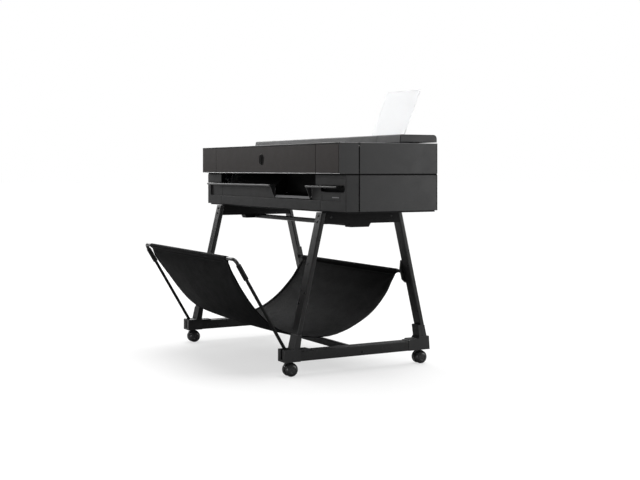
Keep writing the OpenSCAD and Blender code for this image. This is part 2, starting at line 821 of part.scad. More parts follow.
// Slanted slab between two heights
module leg_slab(y_low, y_high, depth, width) {
    run = leg_slope_of(y_low, y_high);
    along_x(leg_x - width / 2, leg_x + width / 2)
        polygon([[y_low - run, boot_top - 1], [y_low + depth - run, boot_top - 1],
                 [y_high + depth + run, tray_z + 1], [y_high + run, tray_z + 1]]);
}

// Sideways step of a slab for each millimetre of height
function leg_slope_of(y_low, y_high) = (y_high - y_low) / (tray_z - boot_top);

// Leg as a flat slanted tube, cut level at both ends
module leg_tube(y_low, y_high) {
    intersection() {
        difference() {
            leg_slab(y_low, y_high, leg_d, leg_w);
            leg_slab(y_low + tube_wall, y_high + tube_wall, leg_d - 2 * tube_wall, leg_w - 2 * tube_wall);
        }
        span([leg_in - 1, foot_front, boot_top], [leg_out + 1, foot_rear, tray_z]);
    }
}

module front_legs() {
    color("#252527") both_sides() leg_tube(front_leg_at(boot_top), front_leg_at(tray_z));
}

module rear_legs() {
    color("#252527") both_sides() leg_tube(rear_leg_at(boot_top), rear_leg_at(tray_z));
}

// Channel between the legs, with a deeper middle that holds the crossbar
module top_brackets() {
    front = front_leg_y + leg_d;
    slope = leg_slope;
    color("#1f1f21") both_sides() difference() {
        union() {
            along_x(leg_in + 3, leg_out - 3) polygon([
                [front - slope * (body_z - tray_z), tray_z],
                [front - slope * (body_z - bracket_z), bracket_z],
                [55, bracket_z], [63, drop_z], [147, drop_z], [156, bracket_z],
                [rear_leg_at(bracket_z), bracket_z], [rear_leg_at(tray_z), tray_z]]);
            for (x = [leg_in, leg_out - 3])
                along_x(x, x + 3) polygon([
                    [front - slope * (body_z - tray_z), tray_z], [front - slope * (body_z - 603), 603],
                    [rear_leg_at(603), 603], [rear_leg_at(tray_z), tray_z]]);
        }
        span([leg_in + 6, front + 4, bracket_z + 3], [leg_out - 6, rear_leg_y - 4, tray_z + 1]);
    }
}

module foot_beams() {
    color("#232325") both_sides() difference() {
        span([leg_in, foot_front + block_len, beam_z], [leg_out, rear_block_y, beam_top]);
        span([leg_in + tube_wall, foot_front, beam_z + tube_wall],
             [leg_out - tube_wall, foot_rear, beam_top - tube_wall]);
        for (x = [leg_in, leg_out]) for (z = [beam_z, beam_top])
            translate([x, foot_front, z]) rotate([-90, 45, 0])
                translate([-1, -1, 0]) cube([2, 2, foot_rear - foot_front]);
    }
}

// Moulded ends of the feet: the front ones hold the bin pivot, all hold a leg and a caster
module foot_blocks() {
    color("#1d1d1f") both_sides() {
        difference() {
            union() {
                span([leg_x - foot_w / 2, foot_front, beam_z],
                     [leg_x + foot_w / 2, foot_front + block_len, block_top]);
                span([leg_in + 2, foot_front + block_len, beam_top],
                     [leg_out - 2, foot_front + block_len + 48, beam_top + 5]);
                along_x(leg_in - 2, leg_out + 2) polygon([
                    [front_leg_at(block_top) - 1, block_top], [foot_front + block_len, block_top],
                    [front_leg_at(boot_top) + leg_d + 1, boot_top], [front_leg_at(boot_top) - 1, boot_top]]);
            }
            span([leg_x - 7.6, foot_front - 1, beam_z + 8], [leg_x + 7.6, -196, block_top + 1]);
            rod_x(leg_x - 40, leg_x + 40, pivot_y, pivot_z, 3);
            translate([leg_x, caster_front, beam_z - 1]) cylinder(h = 8, r = 5.3);
        }
        rod_x(leg_x - foot_w / 2, leg_x + foot_w / 2, pivot_y, pivot_z, 3);
        difference() {
            union() {
                along_x(leg_in - 1, leg_out + 1) polygon([
                    [rear_block_y, beam_z], [foot_rear, beam_z], [foot_rear - 4, heel_top],
                    [388, heel_top], [383, beam_top + 6], [350, beam_top + 6], [346, beam_top + 1.5],
                    [rear_block_y, beam_top + 1.5]]);
                along_x(leg_in, leg_out) polygon([
                    [rear_leg_at(block_top) + leg_d, block_top], [rear_leg_at(block_top), block_top],
                    [rear_leg_at(boot_top), boot_top], [rear_leg_at(boot_top) + leg_d, boot_top]]);
                along_x(leg_in + 1, leg_out - 1) polygon([
                    [rear_leg_at(block_top) + 4, block_top], [rear_leg_at(block_top) - 17, block_top],
                    [rear_leg_at(boot_top) - 11, boot_top], [rear_leg_at(boot_top) + 4, boot_top]]);
            }
            translate([leg_x, caster_rear, beam_z - 1]) cylinder(h = 8, r = 5.3);
        }
    }
}

module crossbars() {
    color("#232325") {
        box_tube(leg_in, beam_z, 27);
        box_tube(leg_in + 3, drop_z, 19);
    }
}

// Box tube across the stand, at height z
module box_tube(half, z, h) {
    difference() {
        span([-half, crossbar_y, z], [half, crossbar_y + crossbar_d, z + h]);
        span([-half - 1, crossbar_y + tube_wall, z + tube_wall],
             [half + 1, crossbar_y + crossbar_d - tube_wall, z + h - tube_wall]);
    }
}

// Button-head bolts through the legs, beams and crossbars
module stand_bolts() {
    color("#8c8c90") both_sides() {
        for (y = [crossbar_y + 10]) rod_x(leg_out, leg_out + 3, y, beam_z + 14, 5.5);
        for (z = [594, 617]) {
            translate([leg_x, front_leg_at(z), z]) rotate([90 - atan(leg_slope), 0, 0])
                cylinder(h = 3, r = 5);
        }
        for (y = [-30, 250]) rod_x(leg_out, leg_out + 3, y, 612, 5.5);
    }
}

// ---- Media bin ----

module bin_rear_rod() {
    color("#2a2a2c") rod_x(-leg_in, leg_in, rod_rear_y, rod_rear_z, rod_d / 2);
}

// Moulded clips on the rear legs that hold the rear rod
module bin_rear_clips() {
    color("#19191a") both_sides() difference() {
        along_x(leg_in - 10, leg_in) polygon([
            [rear_leg_at(425) + 1, 425], [rear_leg_at(425) + leg_d, 425],
            [rear_leg_at(331) + leg_d, 331], [rear_leg_at(331) + 1, 331],
            [rear_leg_at(345) - 11, 345], [rear_leg_at(390) - 11, 390]]);
        rod_x(leg_in - 12, leg_in + 1, rod_rear_y, rod_rear_z, rod_d / 2);
    }
}

// The two arms of the bin, each with an eye at its foot and a sleeve at its top
module bin_arms() {
    color("#232325") both_sides() translate([leg_x, pivot_y, pivot_z]) rotate([arm_tilt, 0, 0]) {
        difference() {
            union() {
                cylinder(h = arm_len - 24, r = rod_d / 2 - 0.5);
                rotate([0, 90, 0]) translate([0, 0, -6.8]) cylinder(h = 13.6, r = 8);
            }
            rotate([0, 90, 0]) translate([0, 0, -20]) cylinder(h = 40, r = 3.3);
        }
        difference() {
            translate([0, 0, arm_len - 90]) cylinder(h = 66, r = 9.8);
            translate([0, 0, arm_len - 92]) cylinder(h = 70, r = rod_d / 2 - 0.5);
        }
    }
}

// Front rod, turned down at both ends into the sleeves of the arms
module bin_front_rod() {
    color("#6a6a6d") {
        rod_x(-leg_x, leg_x, rod_front_y, rod_front_z, rod_d / 2);
        both_sides() translate([leg_x, rod_front_y, rod_front_z]) {
            sphere(r = rod_d / 2 + 0.6, $fn = 40);
            rotate([arm_tilt, 0, 0]) translate([0, 0, -24]) cylinder(h = 24, r = rod_d / 2 - 0.5);
        }
    }
}

// Unit direction of the sling's middle line at point i
function sling_dir(i) = let (a = SLING[max(i - 1, 0)], b = SLING[min(i + 1, len(SLING) - 1)])
    (b - a) / norm(b - a);

// Point i of the sling, moved sideways by d
function sling_side(i, d) = SLING[i] + d * [-sling_dir(i)[1], sling_dir(i)[0]];

module media_sling() {
    last = len(SLING) - 1;
    color("#101011") along_x(-sling_half, sling_half) polygon(concat(
        [for (i = [0:last]) sling_side(i, sling_t / 2)],
        [for (i = [last:-1:0]) sling_side(i, -sling_t / 2)]));
}

// ---- Casters ----

CASTERS = [[-leg_x, caster_front], [leg_x, caster_front], [-leg_x, caster_rear], [leg_x, caster_rear]];

// Hooded fork: a stem, a domed hood between the two wheels and the axle
module caster_fork(i) {
    r = wheel_d / 2;
    color("#151516") translate([CASTERS[i][0], CASTERS[i][1], 0]) {
        translate([0, 0, beam_z - 4.5]) cylinder(h = 4.2, r = 10);
        translate([0, 0, beam_z - 7]) cylinder(h = 13.4, r = 5);
        difference() {
            translate([0, caster_trail, r]) rotate([0, 90, 0])
                translate([0, 0, -6]) cylinder(h = 12, r = r + 1.5);
            translate([0, caster_trail, 0]) span([-20, -40, -40], [20, 40, 10]);
        }
        span([-6, -9, r], [6, 9, beam_z - 7]);
        translate([0, caster_trail, r]) rotate([0, 90, 0]) translate([0, 0, -21]) cylinder(h = 42, r = 3);
    }
}

// Pair of wheels on one axle
module caster_wheels(i) {
    r = wheel_d / 2;
    color("#222224") translate([CASTERS[i][0], CASTERS[i][1] + caster_trail, r]) rotate([0, 90, 0])
        for (side = [0, 1]) mirror([0, 0, side]) rotate_extrude() polygon(concat(
            [[3.3, 7], [r - 2, 7]], corner([r - 3, 10], 3, -60, 0, 3), corner([r - 8, 18], 8, 0, 80, 6),
            [[8, 26], [8, 21], [3.3, 21]]));
}

module caster_fork_1() { caster_fork(0); }
module caster_fork_2() { caster_fork(1); }
module caster_fork_3() { caster_fork(2); }
module caster_fork_4() { caster_fork(3); }
module caster_wheels_1() { caster_wheels(0); }
module caster_wheels_2() { caster_wheels(1); }
module caster_wheels_3() { caster_wheels(2); }
module caster_wheels_4() { caster_wheels(3); }

base_tray();
lower_fascia();
lower_left_end_cover();
lower_right_end_cover();
left_lower_side_cover();
right_lower_side_cover();
left_upper_side_cover();
right_upper_side_cover();
upper_left_end_cover();
upper_right_end_cover();
roll_bay_deck();
rear_cover();
roll_end_cover();
touch_screen();
power_button();
ink_door();
ink_cartridges();
main_cover();
cover_badge();
roll_cover();
sheet_support();
output_flap_left();
output_flap_right();
output_ramp();
chassis();
platen();
carriage_rail();
carriage();
timing_belts();
drive_motors();
motor_pulley();
idler_pulley();
feed_roller();
pinch_rollers();
roll_spindle();
service_station();
main_board();
power_supply();
power_inlet();
front_legs();
rear_legs();
top_brackets();
foot_beams();
foot_blocks();
crossbars();
stand_bolts();
bin_rear_rod();
bin_rear_clips();
bin_arms();
bin_front_rod();
media_sling();
caster_fork_1();
caster_wheels_1();
caster_fork_2();
caster_wheels_2();
caster_fork_3();
caster_wheels_3();
caster_fork_4();
caster_wheels_4();
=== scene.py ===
"""A large format plotter on a wheeled stand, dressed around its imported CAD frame.

Lengths are metres in the row frame: +Z is up, -Y is the front and X runs along the carriage travel.
"""
import math

import bmesh
import bpy
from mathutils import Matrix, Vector, noise


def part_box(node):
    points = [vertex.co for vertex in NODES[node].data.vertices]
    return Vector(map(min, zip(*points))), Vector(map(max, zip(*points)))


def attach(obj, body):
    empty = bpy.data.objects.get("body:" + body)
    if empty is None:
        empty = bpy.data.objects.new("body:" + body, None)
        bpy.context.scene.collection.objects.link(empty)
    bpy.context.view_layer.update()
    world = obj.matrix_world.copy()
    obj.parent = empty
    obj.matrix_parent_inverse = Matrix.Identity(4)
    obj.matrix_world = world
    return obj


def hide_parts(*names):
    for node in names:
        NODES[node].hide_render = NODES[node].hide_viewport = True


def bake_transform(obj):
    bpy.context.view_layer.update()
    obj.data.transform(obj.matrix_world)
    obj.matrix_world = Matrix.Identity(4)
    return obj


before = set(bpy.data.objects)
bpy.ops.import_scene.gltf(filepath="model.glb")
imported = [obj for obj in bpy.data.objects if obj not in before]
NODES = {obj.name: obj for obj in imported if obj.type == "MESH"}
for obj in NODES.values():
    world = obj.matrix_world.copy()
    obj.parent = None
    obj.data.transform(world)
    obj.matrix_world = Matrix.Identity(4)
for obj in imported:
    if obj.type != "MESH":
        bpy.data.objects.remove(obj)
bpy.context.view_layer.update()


# ---- Materials ----

class Look:
    """One material, built from short steps on its node tree."""

    def __init__(self, name, color, roughness, **sockets):
        self.material = bpy.data.materials.new(name)
        self.material.use_nodes = True
        self.tree = self.material.node_tree
        self.shader = self.tree.nodes["Principled BSDF"]
        self.base = (*color, 1.0)
        self.color = None
        self.bump_normal = None
        self.shader.inputs["Base Color"].default_value = self.base
        self.shader.inputs["Roughness"].default_value = roughness
        for socket, value in sockets.items():
            self.shader.inputs[socket.replace("_", " ")].default_value = value
        self.place = self.node("ShaderNodeTexCoord").outputs["Object"]

    def node(self, kind, settings=(), **inputs):
        """A node of that kind, with its inputs set to numbers or linked to other nodes' outputs."""
        made = self.tree.nodes.new(kind)
        for key, value in dict(settings).items():
            setattr(made, key, value)
        for key, value in inputs.items():
            self.feed(made.inputs[key.replace("_", " ")], value)
        return made

    def feed(self, socket, value):
        if isinstance(value, bpy.types.NodeSocket):
            self.tree.links.new(value, socket)
        else:
            socket.default_value = value

    def noise(self, scale, detail=3.0, stretch=(1, 1, 1)):
        """Cloudy values from 0 to 1, with scale features a metre."""
        at = self.node("ShaderNodeMapping", Vector=self.place, Scale=stretch).outputs[0]
        return self.node("ShaderNodeTexNoise", Vector=at, Scale=scale, Detail=detail).outputs["Fac"]

    def cells(self, scale):
        return self.node("ShaderNodeTexVoronoi", Vector=self.place, Scale=scale).outputs["Distance"]

    def spread(self, value, low, high, to_low=0.0, to_high=1.0):
        """value, stretched from low..high to to_low..to_high."""
        made = self.node("ShaderNodeMapRange", Value=value, From_Min=low, From_Max=high,
                         To_Min=to_low, To_Max=to_high)
        return made.outputs[0]

    def math(self, operation, a, b=0.0):
        made = self.node("ShaderNodeMath", {"operation": operation})
        self.feed(made.inputs[0], a)
        self.feed(made.inputs[1], b)
        return made.outputs[0]

    def tint(self, factor, color):
        """Blends the surface's colour towards another where factor is high."""
        made = self.node("ShaderNodeMix", {"data_type": "RGBA"})
        self.feed(made.inputs[0], factor)
        self.feed(made.inputs[6], self.color or self.base)
        self.feed(made.inputs[7], (*color, 1.0))
        self.color = made.outputs[2]
        self.feed(self.shader.inputs["Base Color"], self.color)

    def rough(self, factor, low, high):
        self.feed(self.shader.inputs["Roughness"], self.spread(factor, 0.25, 0.75, low, high))

    def bump(self, height, depth):
        """Raises the surface by depth where height is 1."""
        made = self.node("ShaderNodeBump", Height=height, Distance=depth, Strength=1.0)
        if self.bump_normal:
            self.feed(made.inputs["Normal"], self.bump_normal)
        self.bump_normal = made.outputs[0]
        self.feed(self.shader.inputs["Normal"], self.bump_normal)

    def edges(self, radius, color, amount):
        """Lightens the surface's sharp edges: partly wear from handling and moulding, partly a painted
        highlight where rounded edges catch the light.
        """
        rounded = self.node("ShaderNodeBevel", {"samples": 4}, Radius=radius).outputs[0]
        flat = self.node("ShaderNodeNewGeometry").outputs["Normal"]
        dot = self.node("ShaderNodeVectorMath", {"operation": "DOT_PRODUCT"})
        self.feed(dot.inputs[0], rounded)
        self.feed(dot.inputs[1], flat)
        self.tint(self.spread(dot.outputs["Value"], 0.985, 0.80, 0.0, amount), color)


def shade(color, factor):
    return tuple(min(1.0, channel * factor) for channel in color)


def moulded(name, color, roughness, grain=0.00006, edge_wear_and_highlight=0.5, **sockets):
    """Injection-moulded plastic: fine grain, faint flow clouds and lighter edges, which are part wear and
    part painted highlight.
    """
    look = Look(name, color, roughness, **sockets)
    look.tint(look.spread(look.noise(5, 4), 0.35, 0.7, 0.0, 0.5), shade(color, 0.78))
    look.tint(look.spread(look.noise(60, 2), 0.55, 0.75, 0.0, 0.35), shade(color, 1.3))
    look.edges(0.0012, shade(color, 3.2), edge_wear_and_highlight)
    look.rough(look.noise(22, 3), roughness - 0.04, roughness + 0.07)
    look.bump(look.noise(140, 2), grain * 0.8)
    look.bump(look.noise(2600, 2), grain)
    return look.material


def powder_coat(name, color, roughness):
    """Powder-coated steel: orange-peel skin, faint dust and lighter edges, part thin spots in the coat and
    part painted highlight.
    """
    look = Look(name, color, roughness, Specular_IOR_Level=0.4)
    look.tint(look.spread(look.noise(9, 5), 0.4, 0.7, 0.0, 0.5), shade(color, 1.35))
    look.edges(0.0016, shade(color, 3.5), 0.6)
    look.rough(look.noise(35, 4), roughness - 0.05, roughness + 0.08)
    look.bump(look.noise(420, 2), 0.00012)
    look.bump(look.cells(1500), 0.00005)
    return look.material


def brushed(name, color, roughness, stretch):
    """Drawn or ground metal, with fine lines along one direction."""
    look = Look(name, color, roughness, Metallic=1.0)
    lines = look.noise(900, 3, stretch)
    look.tint(look.spread(lines, 0.35, 0.65, 0.0, 0.6), shade(color, 0.72))
    look.tint(look.spread(look.noise(12, 4), 0.5, 0.75, 0.0, 0.4), shade(color, 0.6))
    look.rough(lines, roughness - 0.08, roughness + 0.12)
    look.bump(lines, 0.00003)
    return look.material


def rubber(name, color, roughness):
    look = Look(name, color, roughness)
    look.tint(look.spread(look.noise(40, 5), 0.45, 0.75, 0.0, 0.7), shade(color, 1.9))
    look.rough(look.noise(60, 3), roughness - 0.08, roughness + 0.1)
    look.bump(look.noise(900, 3), 0.00008)
    return look.material


def frosted():
    """Frosted clear plastic with a fine etched grain."""
    look = Look("frosted_plastic", (0.965, 0.97, 0.975), 0.5, Transmission_Weight=0.75, IOR=1.42)
    look.tint(look.spread(look.noise(14, 4), 0.4, 0.7, 0.0, 0.4), (0.955, 0.96, 0.97))
    look.rough(look.noise(120, 2), 0.42, 0.58)
    look.bump(look.noise(2200, 2), 0.00008)
    return look.material


def woven():
    """Plain-woven nylon, from the cloth's own width and length in metres on its UV map."""
    color = (0.005, 0.005, 0.0053)
    look = Look("woven_black", color, 0.62, Sheen_Weight=0.016, Sheen_Roughness=0.35,
                Specular_IOR_Level=0.03)
    look.shader.inputs["Sheen Tint"].default_value = (0.75, 0.77, 0.8, 1.0)
    uv = look.node("ShaderNodeUVMap").outputs[0]
    yarns = []
    for direction in ("X", "Y"):
        wave = look.node("ShaderNodeTexWave", {"wave_type": "BANDS", "bands_direction": direction},
                         Vector=uv, Scale=YARNS_PER_METRE / 3.1416, Distortion=0.35, Detail=1.0)
        wave.inputs["Detail Scale"].default_value = 3.0
        yarns.append(wave.outputs["Fac"])
    weave = look.math("MAXIMUM", yarns[0], yarns[1])
    look.tint(look.spread(weave, 0.35, 1.0, 0.8, 0.0), shade(color, 0.35))
    look.tint(look.spread(look.noise(7, 4), 0.4, 0.7, 0.0, 0.5), shade(color, 1.3))
    look.tint(look.spread(look.noise(800, 2), 0.6, 0.8, 0.0, 0.5), shade(color, 2.0))
    look.rough(look.noise(30, 3), 0.58, 0.68)
    look.bump(weave, 0.00018)
    look.bump(look.noise(90, 3), 0.0001)
    return look.material


YARNS_PER_METRE = 620

side_color = (0.0172, 0.0172, 0.0176)
LOOKS = {
    "side_cover": moulded("side_cover_plastic", side_color, 0.4, Specular_IOR_Level=0.45),
    "front_lower": moulded("front_lower_plastic", shade(side_color, 0.85), 0.46, Specular_IOR_Level=0.38),
    "front_panel": moulded("front_panel_plate", (0.0235, 0.0178, 0.0160), 0.38, grain=0.00003,
                           Specular_IOR_Level=0.28),
    "cover_body": moulded("cover_body_plastic", (0.0085, 0.0082, 0.0082), 0.42, Specular_IOR_Level=0.35),
    "dark_edge": moulded("dark_edge_plastic", (0.0035, 0.0032, 0.0032), 0.34, edge_wear_and_highlight=0.2,
                         Specular_IOR_Level=0.2),
    # Roll cover plastic: the side plastic made lighter, painted light for the cover's well-lit front.
    "top_cover_lit": moulded("top_cover_lit_plastic", shade(side_color, 1.75), 0.4, Specular_IOR_Level=0.5),
    # Stronger edge lightening on the flaps paints a highlight on their lips.
    "flap": moulded("flap_plastic", shade(side_color, 0.85), 0.3, edge_wear_and_highlight=0.8, Specular_IOR_Level=0.55),
    "inner": moulded("inner_plastic", (0.002, 0.002, 0.0022), 0.6, edge_wear_and_highlight=0.2, Specular_IOR_Level=0.1),
    # Near-black ramp: painted shade for the shadowed inside of the output slot.
    "ramp": moulded("ramp_shaded_plastic", (0.0012, 0.0012, 0.0013), 0.6, edge_wear_and_highlight=0.3, Specular_IOR_Level=0.05),
    # Pale lip strip: painted highlight.
    "ramp_lip": moulded("ramp_lip_highlight_plastic", (0.4, 0.4, 0.41), 0.34),
    "foot": moulded("foot_plastic", (0.0125, 0.0125, 0.013), 0.36, grain=0.00012,
                    Specular_IOR_Level=0.4),
    "glass": moulded("screen_glass", (0.006, 0.007, 0.009), 0.12, grain=0.00001, edge_wear_and_highlight=0.1,
                     Coat_Weight=0.6, Coat_Roughness=0.05),
    "button": moulded("button_plastic", (0.42, 0.43, 0.45), 0.3, edge_wear_and_highlight=0.2),
    "badge": moulded("badge_plastic", (0.006, 0.0052, 0.0052), 0.3, grain=0.00002,
                     Specular_IOR_Level=0.3),
    "badge_rim": moulded("badge_rim_plastic", (0.02, 0.018, 0.018), 0.25, grain=0.00002, edge_wear_and_highlight=0.3),
    "label": moulded("label_print", (0.2, 0.2, 0.205), 0.4, edge_wear_and_highlight=0.1),
    "hub": moulded("hub_plastic", (0.02, 0.09, 0.2), 0.4),
    "board": moulded("board_laminate", (0.006, 0.05, 0.02), 0.4),
    "cartridge": moulded("cartridge_plastic", (0.02, 0.02, 0.022), 0.4),
    "powder": powder_coat("stand_powder_coat", (0.0062, 0.0062, 0.0064), 0.3),
    "rod": powder_coat("rod_coat", (0.012, 0.012, 0.0125), 0.28),
    "arm": moulded("arm_coat", (0.003, 0.003, 0.0032), 0.42, Specular_IOR_Level=0.16),
    # Base tray and top brackets darker than the stand: painted shade for their place under the body.
    "shaded_bracket": moulded("shaded_bracket_coat", (0.0045, 0.0045, 0.0047), 0.5, Specular_IOR_Level=0.14),
    "trim": brushed("trim_metal", (0.42, 0.42, 0.42), 0.32, (0.02, 1, 1)),
    # Pale edge beads: painted highlight along the top edges.
    "edge_bead": moulded("edge_highlight_bead_plastic", (0.22, 0.22, 0.225), 0.3, edge_wear_and_highlight=0.2),
    "steel": brushed("plated_steel", (0.5, 0.51, 0.53), 0.32, (0.05, 1, 1)),
    "bolt": brushed("black_oxide_steel", (0.05, 0.05, 0.052), 0.36, (1, 1, 0.1)),
    "ground": brushed("ground_rod", (0.66, 0.67, 0.69), 0.2, (1, 0.05, 0.05)),
    "alloy": brushed("turned_alloy", (0.68, 0.69, 0.71), 0.3, (0.1, 1, 1)),
    "roller": rubber("roller_rubber", (0.035, 0.035, 0.036), 0.6),
    "belt": rubber("belt_rubber", (0.012, 0.012, 0.012), 0.7),
    "wheel": rubber("wheel_rubber", (0.018, 0.018, 0.0185), 0.24),
    "thread": rubber("sewing_thread", (0.012, 0.012, 0.0125), 0.6),
    "frosted": frosted(),
    "woven": woven(),
}


# ---- CAD nodes that stay, with rounded edges and finished surfaces ----

def dress(names, look, edge=0.0006, segments=2):
    """Gives CAD nodes a material, and a small round on every sharp edge."""
    for name in names:
        piece = NODES[name]
        piece.data.materials.clear()
        piece.data.materials.append(LOOKS[look])
        if not edge:
            continue
        weld = piece.modifiers.new("weld", "WELD")
        weld.merge_threshold = 0.00001
        flats = piece.modifiers.new("flats", "DECIMATE")
        flats.decimate_type = "DISSOLVE"
        flats.angle_limit = math.radians(0.2)
        bevel = piece.modifiers.new("bevel", "BEVEL")
        bevel.width = edge
        bevel.segments = segments
        bevel.limit_method = "ANGLE"
        bevel.angle_limit = math.radians(38)
        normals = piece.modifiers.new("normals", "WEIGHTED_NORMAL")
        normals.keep_sharp = False


DRESSED = [
    (["left_lower_side_cover", "right_lower_side_cover", "left_upper_side_cover",
      "right_upper_side_cover", "rear_cover", "upper_left_end_cover",
      "upper_right_end_cover"], "side_cover", 0.0012),
    (["lower_fascia", "lower_left_end_cover", "lower_right_end_cover"], "front_lower", 0.0008),
    (["main_cover", "ink_door"], "cover_body", 0.0006),
    (["roll_cover", "roll_end_cover"], "top_cover_lit", 0.0008),
    (["roll_bay_deck"], "side_cover", 0.0012),
    (["output_flap_left", "output_flap_right"], "flap", 0.0006),
    (["output_ramp"], "ramp", 0.0006),
    (["base_tray", "top_brackets"], "shaded_bracket", 0.0008),
    (["foot_blocks"], "foot", 0.0018),
    (["bin_rear_clips"], "powder", 0.0018),
    (["caster_fork_1", "caster_fork_2", "caster_fork_3", "caster_fork_4"], "wheel", 0.0008),
    (["bin_rear_rod", "bin_arms"], "arm", 0),
    (["platen", "service_station", "power_inlet", "carriage"], "inner", 0.0005),
    (["chassis", "power_supply", "drive_motors"], "steel", 0.0006),
    (["carriage_rail"], "ground", 0),
    (["motor_pulley", "idler_pulley"], "alloy", 0),
    (["feed_roller", "pinch_rollers"], "roller", 0),
    (["timing_belts"], "belt", 0),
    (["roll_spindle"], "hub", 0.0008),
    (["main_board"], "board", 0.0003),
    (["ink_cartridges"], "cartridge", 0.001),
    (["touch_screen"], "glass", 0.0004),
    (["power_button"], "button", 0.0005),
    (["cover_badge"], "badge", 0.0002),
    (["sheet_support"], "frosted", 0.0004),
]
for names, look, edge in DRESSED:
    dress(names, look, edge)


# ---- Mesh helpers ----

def build(name, verts, faces, look, body, slot=None, crease=35):
    """A new piece from its points and faces, with one material, riding on a body.

    Edges sharper than crease degrees stay sharp; flat faces keep their own shading.
    """
    mesh = bpy.data.meshes.new(name)
    mesh.from_pydata([tuple(v) for v in verts], [], faces)
    mesh.materials.append(LOOKS[look])
    mesh.polygons.foreach_set("use_smooth", [True] * len(mesh.polygons))
    mesh.validate()
    tidy = bmesh.new()
    tidy.from_mesh(mesh)
    bmesh.ops.recalc_face_normals(tidy, faces=tidy.faces)
    for edge in tidy.edges:
        if len(edge.link_faces) == 2 and edge.calc_face_angle() > math.radians(crease):
            edge.smooth = False
    tidy.to_mesh(mesh)
    tidy.free()
    piece = bpy.data.objects.new(name, mesh)
    bpy.context.scene.collection.objects.link(piece)
    piece.modifiers.new("normals", "WEIGHTED_NORMAL").keep_sharp = True
    if body:
        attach(piece, body)
    return piece


def rounded_rectangle(width, height, radius, steps=5):
    """Corner points of a rounded rectangle about the origin, anticlockwise."""
    points = []
    for turn, (sx, sy) in enumerate(((1, 1), (-1, 1), (-1, -1), (1, -1))):
        for step in range(steps + 1):
            angle = math.radians(90 * turn + 90 * step / steps)
            points.append((sx * (width / 2 - radius) + radius * math.cos(angle),
                           sy * (height / 2 - radius) + radius * math.sin(angle)))
    return points


def loft(rings, closed_ends=True):
    """Points and faces of a skin over rings that have the same number of points."""
    count = len(rings[0])
    verts = [point for ring in rings for point in ring]
    faces = []
    for r in range(len(rings) - 1):
        for i in range(count):
            j = (i + 1) % count
            faces.append((r * count + i, r * count + j, (r + 1) * count + j, (r + 1) * count + i))
    if closed_ends:
        faces.append(tuple(range(count))[::-1])
        faces.append(tuple((len(rings) - 1) * count + i for i in range(count)))
    return verts, faces


def spun(profile, origin, axis, segments=48):
    """Points and faces of a profile of (radius, height) pairs, spun about an axis."""
    turn = Vector((0, 0, 1)).rotation_difference(Vector(axis)).to_matrix()
    rings = []
    for radius, height in profile:
        ring = []
        for i in range(segments):
            angle = 2 * math.pi * i / segments
            ring.append(Vector(origin) + turn @ Vector((radius * math.cos(angle),
                                                        radius * math.sin(angle), height)))
        rings.append(ring)
    return loft(rings)


def joined(parts):
    """One list of points and one of faces from several (points, faces) pairs."""
    verts, faces = [], []
    for part_verts, part_faces in parts:
        start = len(verts)
        verts += part_verts
        faces += [tuple(start + i for i in face) for face in part_faces]
    return verts, faces


# ---- Stand: tubes with rounded corners, end to end of their CAD solids ----

TUBE_CORNER = 0.004
TUBE_END = 0.0012


def level_tube(low, high, lean=0.0):
    """Upright or leaning tube with a rounded section, cut level; lean is the top's shift in Y."""
    width, depth = high.x - low.x, high.y - low.y - abs(lean)
    middle = Vector(((low.x + high.x) / 2, (low.y + high.y) / 2, 0))
    rings = []
    for share, inset in ((0, TUBE_END), (0.002, 0), (0.5, 0), (0.998, 0), (1, TUBE_END)):
        at = middle + Vector((0, lean * (share - 0.5), low.z + (high.z - low.z) * share))
        rings.append([at + Vector((x, y, 0)) for x, y in
                      rounded_rectangle(width - 2 * inset, depth - 2 * inset, TUBE_CORNER)])
    return loft(rings)


def lying_tube(low, high, along):
    """Box tube along X (0) or Y (1), with a rounded section."""
    across = 1 - along
    width, height = high[across] - low[across], high.z - low.z
    middle = (low + high) / 2
    rings = []
    for end, inset in ((0, TUBE_END), (TUBE_END, 0), (-TUBE_END, 0), (0, TUBE_END)):
        if len(rings) < 2:
            place = low[along] + end
        else:
            place = high[along] + end
        ring = []
        for a, z in rounded_rectangle(width - 2 * inset, height - 2 * inset, TUBE_CORNER):
            point = middle.copy()
            point[along] = place
            point[across] += a
            point.z += z
            ring.append(point)
        rings.append(ring)
    return loft(rings)


def solids_of(node, reach):
    """A CAD node's separate solids as point lists, told apart by a gap of at least reach."""
    groups = []
    for vert in NODES[node].data.vertices:
        point = vert.co.copy()
        near = [g for g in groups if any((point - q).length < reach for q in g)]
        merged = [point]
        for g in near:
            merged += g
            groups.remove(g)
        groups.append(merged)
    return groups


def corners(points):
    low = Vector([min(p[i] for p in points) for i in range(3)])
    high = Vector([max(p[i] for p in points) for i in range(3)])
    return low, high


def side_boxes(node):
    """The corners of a CAD node's left half and right half."""
    points = [v.co for v in NODES[node].data.vertices]
    return [corners([p for p in points if p.x * side > 0]) for side in (-1, 1)]


LEG_DEPTH = 0.0195


def make_stand():
    """Tubes for the legs, the foot beams and the crossbars."""
    for node, direction in (("front_legs", 1), ("rear_legs", -1)):
        parts = []
        for low, high in side_boxes(node):
            parts.append(level_tube(low, high, direction * (high.y - low.y - LEG_DEPTH)))
        legs = build(node.replace("legs", "leg_tubes"), *joined(parts), "powder", "printer", "powder_coat")
        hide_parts(node)
    parts = [lying_tube(low, high, 1) for low, high in side_boxes("foot_beams")]
    beams = build("foot_beam_tubes", *joined(parts), "powder", "printer", "powder_coat")
    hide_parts("foot_beams")
    points = [v.co for v in NODES["crossbars"].data.vertices]
    halfway = (min(p.z for p in points) + max(p.z for p in points)) / 2
    parts = [lying_tube(*corners([p for p in points if (p.z - halfway) * side > 0]), 0) for side in (-1, 1)]
    crossbars = build("crossbar_tubes", *joined(parts), "powder", "printer", "powder_coat")
    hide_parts("crossbars")


make_stand()


# ---- Fasteners ----

